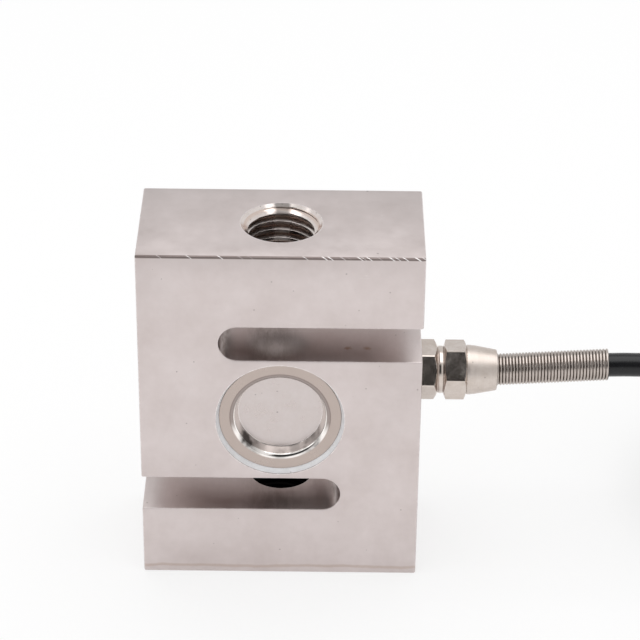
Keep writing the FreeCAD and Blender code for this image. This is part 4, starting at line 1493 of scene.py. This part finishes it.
@dataclass
class Cable:
    """The cable: out of the spring, down to the floor and into its stored coil, with stripped ends."""

    diameter: float = 5.2 * MM
    length: float = 2.9
    exit: Point = (0.0468, 0.0, 0.04405)
    route: tuple[Point, ...] = (
        (0.0270, 0.0000, 0.04405),
        (0.0454, 0.0000, 0.04405),
        (0.0820, 0.0000, 0.04648),
        (0.0930, -0.0012, 0.04360),
        (0.1030, -0.0034, 0.03780),
        (0.1115, -0.0060, 0.03410),
    )
    tail: tuple[Point, ...] = ((0.1486, -0.0007, 0.0026), (0.1575, 0.0108, 0.0026), (0.1605, 0.0228, 0.0026))
    coil_middle: tuple[float, float] = (0.1200, 0.0188)
    inner_turn: float = 20.8 * MM
    columns: int = 3
    rows: int = 6
    turns: float = 17.0833
    per_turn: int = 16
    change: float = 0.26
    entry_rise: tuple[float, ...] = (2.6 * MM, 1.1 * MM, 0.35 * MM, 0.1 * MM)
    tie_width: float = 9.0 * MM
    tie_thickness: float = 0.6 * MM
    tie_bearing: float = 55.0
    core_radius: float = 0.6 * MM
    screen_radius: float = 0.65 * MM
    insulated: float = 0.84
    parts: list[bpy.types.Object] = field(default_factory=list)

    def lanes(self) -> list[tuple[int, int]]:
        """Gives the coil's lanes as (column, row), wound from its top down. The top layer has no outermost turn.

        Returns:
            The lanes.
        """
        found = []
        for row in reversed(range(self.rows)):
            columns = list(range(self.columns))
            if (self.rows - 1 - row) % 2 == 0:
                columns.reverse()
            found += [(column, row) for column in columns]
        return found[1:]

    def coil(self) -> list[Point]:
        """Gives the coil's control points. The cable changes lane a little later on each turn.

        Returns:
            The points, which start at the front of the coil's top and end at its front right on the floor.
        """
        outward = 1.0 / math.cos(math.pi / self.per_turn)
        lanes = self.lanes()
        drift = (self.turns - math.floor(self.turns) + self.change) / (len(lanes) - 2)
        found = []
        for step in range(int(self.turns * self.per_turn) + 1):
            turn = step / self.per_turn
            (column, row), bulge = lanes[0], 0.0
            for count, (next_column, next_row) in enumerate(lanes[1:]):
                start = count + 1.0 - self.change + drift * count
                share = min(max((turn - start) / self.change, 0.0), 1.0)
                last_column, last_row = lanes[count]
                if next_row != last_row:
                    bulge += math.sin(math.pi * share) * (-0.06 if last_column == 0 else 0.2)
                share = share * share * (3.0 - 2.0 * share)
                column += (next_column - last_column) * share
                row += (next_row - last_row) * share
            angle = math.tau * turn - math.pi / 2
            x, y = self.coil_middle
            spread = (self.inner_turn + self.diameter * (column + bulge)) * outward
            height = self.diameter * (0.5 + row) + (self.entry_rise[step] if step < len(self.entry_rise) else 0.0)
            found.append((x + spread * math.cos(angle), y + spread * math.sin(angle), height))
        return found

    def build(self, finishes: dict[str, bpy.types.Material]) -> bpy.types.Object:
        """Builds the cable, its tie and its stripped ends.

        Args:
            finishes: Materials by slot name.

        Returns:
            The cable.
        """
        points = [*self.route, *self.coil(), *self.tail]
        cable = spline("cable", points, self.diameter / 2, 6, 7)
        show(cable, finishes["cable_jacket"], "cable_jacket", "cable_run", "cable_coil")
        self.build_tie(finishes["strap"])
        self.build_ends(finishes)
        return cable

    def tie_loop(self) -> list[Point]:
        """Gives the inner line of the tie round the bundle, as (radius in the coil, height, angle it faces).

        Returns:
            The line's points.
        """
        corner, corner_steps = self.diameter / 2, 6
        inside = self.inner_turn
        outside = inside + (self.columns - 1) * self.diameter
        low, top = self.tie_thickness + corner, (self.rows - 0.5) * self.diameter
        corners = (
            (outside, top - self.diameter, 0, 45),
            (outside - self.diameter, top, 45, 90),
            (inside, top, 90, 180),
            (inside, low, 180, 270),
            (outside, low, 270, 360),
        )
        loop = []
        for x, z, first, last in corners:
            for step in range(corner_steps + 1):
                angle = math.radians(first + (last - first) * step / corner_steps)
                loop.append((x + corner * math.cos(angle), z + corner * math.sin(angle), angle))
        return loop

    def build_tie(self, finish: bpy.types.Material) -> None:
        """Builds the strap round the coil, as a band that follows the bundle.

        Args:
            finish: Its material.
        """
        loop = self.tie_loop()
        bearing = math.radians(self.tie_bearing)
        across_steps = 14

        def at(row: int, column: int) -> Point:
            """Gives one point of the band's closed skin: its outside, then its inside.

            Args:
                row: The point's row.
                column: Its place in that row.

            Returns:
                The point.
            """
            radius, height, angle = loop[column]
            outer = row <= across_steps
            share = (row if outer else 2 * across_steps + 1 - row) / across_steps
            puff = 0.0
            if outer:
                puff = self.tie_thickness + 0.10 * MM * wander((radius / MM, height / MM, share * 3), 4.0)
            edge = 1.0 - 0.25 * (abs(share - 0.5) * 2) ** 8
            radius += puff * edge * math.cos(angle)
            height = max(height + puff * edge * math.sin(angle), 0.0)
            across = (share - 0.5) * self.tie_width
            x = radius * math.cos(bearing) - across * math.sin(bearing)
            y = radius * math.sin(bearing) + across * math.cos(bearing)
            return (self.coil_middle[0] + x, self.coil_middle[1] + y, height)

        rows = 2 * (across_steps + 1)
        points, faces = sheet_of(rows, len(loop), at)
        last = (rows - 1) * len(loop)
        for column in range(len(loop)):
            after = (column + 1) % len(loop)
            faces.append((last + column, last + after, after, column))
        tie = piece("coil_strap", points, faces, 60.0)
        self.parts.append(show(tie, finish, "strap", "coil_tie"))

    def build_ends(self, finishes: dict[str, bpy.types.Material]) -> None:
        """Builds the four stripped cores with tinned tips and the twisted screen.

        Args:
            finishes: Materials by slot name.
        """
        end, before = Vector(self.tail[-1]), Vector(self.tail[-2])
        heading = (end - before).normalized()
        across = Vector((-heading.y, heading.x, 0.0))
        lies = {
            "red": [(0, -0.75, 0.75), (2, -0.75, 0.75), (10, -3.4, 0), (17, -4.8, 0), (24, -5.6, 0)],
            "green": [(0, -0.75, -0.75), (2, -0.75, -0.75), (10, -1.1, 0), (17, -1.5, 0), (23, -2.6, 0)],
            "black": [(0, 0.75, 0.75), (2, 0.75, 0.75), (10, 0.5, 0), (17, 1.1, 0), (25, 0.9, 0)],
            "white": [(0, 0.75, -0.75), (2, 0.75, -0.75), (10, 2.9, 0), (17, 4.1, 0), (24, 4.7, 0)],
            "screen": [(0, 1.9, 0), (2, 1.9, 0), (10, 5.0, 0), (16, 6.8, 0), (21, 7.8, 0)],
        }
        tinned = finishes["tinned_copper"]
        for colour, places in lies.items():
            radius = self.screen_radius if colour == "screen" else self.core_radius
            points = []
            for count, (along, side, rise) in enumerate(places):
                point = end + (heading * along + across * side) * MM
                point.z = radius if count >= 2 else end.z + rise * MM
                points.append(tuple(point))
            line = line_of(points, 16)
            if colour == "screen":
                self.build_screen(line, radius, tinned)
                continue
            stripped = int(len(line) * self.insulated)
            slot = f"insulation_{colour}"
            skin = swept(f"core_{colour}_skin", line[:stripped], lambda share: self.core_radius, 16)
            tip = swept(f"core_{colour}_tip", line[stripped - 2 :], self.tip_radius, 12)
            self.parts.append(show(skin, finishes[slot], slot, f"lead_{colour}"))
            self.parts.append(show(tip, tinned, "tinned_copper"))

    def tip_radius(self, share: float) -> float:
        """Gives the radius of a core's bare tip, which is drawn in at its end."""
        return self.core_radius * 0.55 * (1.0 if share < 0.9 else 1.0 - 3.0 * (share - 0.9))

    def build_screen(self, line: list[Vector], radius: float, finish: bpy.types.Material) -> None:
        """Builds the screen's tail as one twist of strands.

        Args:
            line: Points along its middle.
            radius: Radius of the whole twist.
            finish: Its material.
        """
        strands, wire, twist = 6, radius * 0.36, 0.42
        points: list[Point] = []
        faces: list[tuple[int, ...]] = []
        up = Vector((0.0, 0.0, 1.0))
        for strand in range(strands):
            path = []
            for index, point in enumerate(line):
                after, back = line[min(index + 1, len(line) - 1)], line[max(index - 1, 0)]
                side = (after - back).cross(up).normalized()
                angle = math.tau * strand / strands + index * twist
                path.append(point + (side * math.cos(angle) + up * math.sin(angle)) * (radius - wire))
            rod = swept("strand", path, lambda share: wire, 8)
            start = len(points)
            points += [tuple(vert.co) for vert in rod.data.vertices]
            faces += [tuple(start + v for v in face.vertices) for face in rod.data.polygons]
            bpy.data.objects.remove(rod)
        made = piece("screen_twist", points, faces, 50.0)
        self.parts.append(show(made, finish, "tinned_copper", "screen_tail"))

    def declare(self) -> None:
        names = [part.name for part in self.parts]
        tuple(self.exit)


def show(made: bpy.types.Object, finish: bpy.types.Material, slot: str, *stands_for: str) -> bpy.types.Object:
    """Dresses a piece and puts it on the load cell.

    Args:
        made: The piece.
        finish: Its material.
        slot: Name of a material slot; not used.
        *stands_for: CAD nodes that it stands for.

    Returns:
        The piece.
    """
    made.data.materials.clear()
    made.data.materials.append(finish)
    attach(made, "root")
    if stands_for:
        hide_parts(*stands_for)
    LOG.info("%s has %d points", made.name, len(getattr(made.data, "vertices", ())))
    return made


@dataclass
class Studio:
    """The camera, the plain floor, the white surroundings and the soft lights."""

    lens: float = 141.76
    camera_place: Point = (0.00793, -0.46551, 0.33475)
    camera_turn: Point = (59.103, -0.556, 0.288)
    ambient: float = 0.62
    gloss: float = 0.88
    card: float = 0.04
    card_rise: float = 0.5
    floor_reach: float = 6.0
    floor_glow: float = 0.70
    glossy_glow: float = 0.37

    def camera(self) -> None:
        """Makes the camera."""
        data = bpy.data.cameras.new("camera")
        data.lens = self.lens
        data.sensor_width = 36.0
        data.clip_start = 0.01
        made = placed("camera", data)
        made.location = self.camera_place
        made.rotation_euler = [math.radians(angle) for angle in self.camera_turn]
        bpy.context.scene.camera = made

    def world(self) -> None:
        """Makes white surroundings with one wide dark card in front, which only gloss shows."""
        world = bpy.data.worlds.new("surroundings")
        bpy.context.scene.world = world
        world.use_nodes = True
        world.node_tree.nodes.clear()
        graph = Graph(world.node_tree)
        x, y, z = graph.parts(graph.vector("NORMALIZE", 0, graph.get("TexCoord", "Generated")))
        level = abs(z - self.card_rise).fade(0.30, 0.40)
        in_front = y.fade(-0.62, -0.44) * x.fade(0.14, 0.23)
        mirrored = self.gloss - level * in_front * (self.gloss - self.card)
        camera, through, gloss = graph.rays("Camera", "Transmission", "Glossy")
        seen = camera | through
        around = seen + (1.0 - seen) * self.ambient
        strength = (1.0 - gloss) * around + gloss * mirrored
        background = graph.get("Background", Color=(1.0, 1.0, 1.0), Strength=strength)
        graph.add("OutputWorld", Surface=background)

    def lamp(self, name: str, place: Point, target: Point, size: float, watts: float) -> None:
        """Makes one soft square lamp.

        Args:
            name: Its name.
            place: Where it is.
            target: The point that it faces.
            size: Its side.
            watts: Its power.
        """
        data = bpy.data.lights.new(name, "AREA")
        data.shape = "SQUARE"
        data.size = size
        data.energy = watts
        made = placed(name, data)
        made.location = place
        made.rotation_euler = (Vector(target) - Vector(place)).to_track_quat("-Z", "Y").to_euler()

    def floor(self) -> None:
        """Makes the pale floor."""
        far = self.floor_reach
        corners = [(-far, -far, 0.0), (far, -far, 0.0), (far, far, 0.0), (-far, far, 0.0)]
        made = piece("floor", corners, [(0, 1, 2, 3)])
        surface = Surface("pale_floor", specular=0.1)
        graph, inputs = surface.graph, surface.shader.inputs
        camera, gloss = graph.rays("Camera", "Glossy")
        surface.paint(graph.blend(camera, (0.80, 0.80, 0.80), (0.30, 0.30, 0.30)), 0.9)
        graph.feed(inputs["Emission Color"], (1.0, 1.0, 1.0))
        graph.feed(inputs["Emission Strength"], camera * self.floor_glow + gloss * self.glossy_glow)
        made.data.materials.append(surface.material)

    def light(self) -> None:
        """Makes the world, the lamps and the floor."""
        self.world()
        self.lamp("key", (0.10, 0.04, 0.95), (0.10, 0.0, 0.04), 0.9, 3.9)
        self.lamp("fill", (-0.85, -0.2, 0.55), (0.0, 0.0, 0.04), 0.5, 0.9)
        self.floor()
        bpy.context.scene.view_settings.view_transform = "Standard"


def finishes() -> dict[str, bpy.types.Material]:
    """Builds every finish and gives the materials by slot name.

    Returns:
        The materials.
    """
    white, off_white = (0.72, 0.72, 0.70), (0.6, 0.6, 0.58)
    bright = {"edge_amount": 0.0, "bump": 0.02}
    dusted = {"bump": 0.2, "dust": (0.3, 0.27, 0.25), "dusty": 0.25}
    sooty = {"grain": 2200.0, "bump": 0.05, "dust": (0.3, 0.3, 0.3), "dusty": 0.03, "specular": 0.36}
    made = [
        PlatedSteel(),
        CoverSheet("pressed_steel", (0.60, 0.545, 0.535), (0.53, 0.47, 0.45), 0.30, 260.0, 0.03),
        CutThread("cut_thread", (0.80, 0.74, 0.71), (0.66, 0.59, 0.56), 0.20, 500.0, 0.05),
        TurnedBrass("plated_brass", (0.66, 0.60, 0.56), (0.52, 0.45, 0.40), 0.18, 420.0, edge_width=0.2 * MM),
        Metal("spring_steel", (0.52, 0.465, 0.43), (0.38, 0.335, 0.305), 0.16, 400.0, 0.04, **bright),
        Metal("washer_steel", (0.55, 0.54, 0.53), (0.40, 0.39, 0.38), 0.35),
        Metal("tinned_copper", (0.72, 0.70, 0.68), (0.52, 0.49, 0.46), 0.30, 900.0),
        Metal("fine_wire", (0.80, 0.66, 0.50), (0.60, 0.44, 0.30), 0.28, 900.0),
        Metal("solder", (0.74, 0.74, 0.75), (0.58, 0.58, 0.60), 0.25, 900.0),
        Metal("gauge_foil", (0.72, 0.66, 0.58), (0.60, 0.53, 0.45), 0.32, 900.0, 0.02),
        Plastic("sealant", (0.93, 0.93, 0.95), (0.80, 0.79, 0.80), 0.28, 500.0, **dusted),
        Plastic("gauge_film", (0.55, 0.30, 0.08), (0.42, 0.21, 0.05), 0.35, 400.0),
        Plastic("board", (0.05, 0.22, 0.10), (0.03, 0.15, 0.07), 0.4, 500.0, coat=0.3),
        Plastic("resistor", (0.03, 0.03, 0.032), (0.015, 0.015, 0.016), 0.45, 900.0),
        Plastic("seal_rubber", (0.03, 0.03, 0.03), (0.015, 0.015, 0.015), 0.6, 500.0),
        Plastic("jumper_insulation", white, off_white, 0.4, 500.0),
        Plastic("insulation_red", (0.60, 0.03, 0.025), (0.45, 0.02, 0.02), 0.38, 500.0),
        Plastic("insulation_black", (0.02, 0.02, 0.022), (0.01, 0.01, 0.011), 0.38, 500.0),
        Plastic("insulation_green", (0.03, 0.30, 0.08), (0.02, 0.20, 0.05), 0.38, 500.0),
        Plastic("insulation_white", white, off_white, 0.38, 500.0),
        Plastic("cable_jacket", (0.008, 0.008, 0.010), (0.004, 0.004, 0.005), 0.26, 300.0, **sooty),
        Strap(),
    ]
    return {finish.name: finish.material() for finish in made}


# CAD nodes that keep their own mesh, with the slot that each takes its finish from.
KEPT_NODES = {
    "front_gauge_backing": "gauge_film",
    "rear_gauge_backing": "gauge_film",
    "front_gauge_foil": "gauge_foil",
    "rear_gauge_foil": "gauge_foil",
    "front_terminal_board": "board",
    "front_terminal_board_pads": "solder",
    "trim_board": "board",
    "trim_board_pads": "solder",
    "trim_resistors": "resistor",
    "core_red": "insulation_red",
    "core_black": "insulation_black",
    "core_green": "insulation_green",
    "core_white": "insulation_white",
    "bridge_jumpers": "jumper_insulation",
    "rear_gauge_leads": "fine_wire",
    "front_gauge_leads": "fine_wire",
    "gland_grommet": "seal_rubber",
    "gland_washer": "washer_steel",
}


def main() -> None:
    """Builds the load cell round its frame, and the studio round it."""
    logging.basicConfig(level=logging.INFO, format="%(name)s: %(message)s")
    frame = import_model()
    studio = Studio()
    studio.camera()
    materials = finishes()
    cable = Cable()
    cord = cable.build(materials)
    Gland().build(materials["plated_brass"])
    Spring().build(materials["spring_steel"])
    Block().build(materials["plated_steel"], materials["cut_thread"])
    for side, where in ((-1, "front"), (1, "rear")):
        Cover().build(f"{where}_cover_dressed", side, materials["pressed_steel"], f"{where}_cover")
        CoverSeal().build(f"{where}_bead", side, materials["sealant"], f"{where}_sealant")
    for node, slot in KEPT_NODES.items():
        held = frame["nodes"][node]
        held.data.materials.clear()
        held.data.materials.append(materials[slot])
    cable.declare()
    studio.light()


if __name__ == "__main__":
    main()
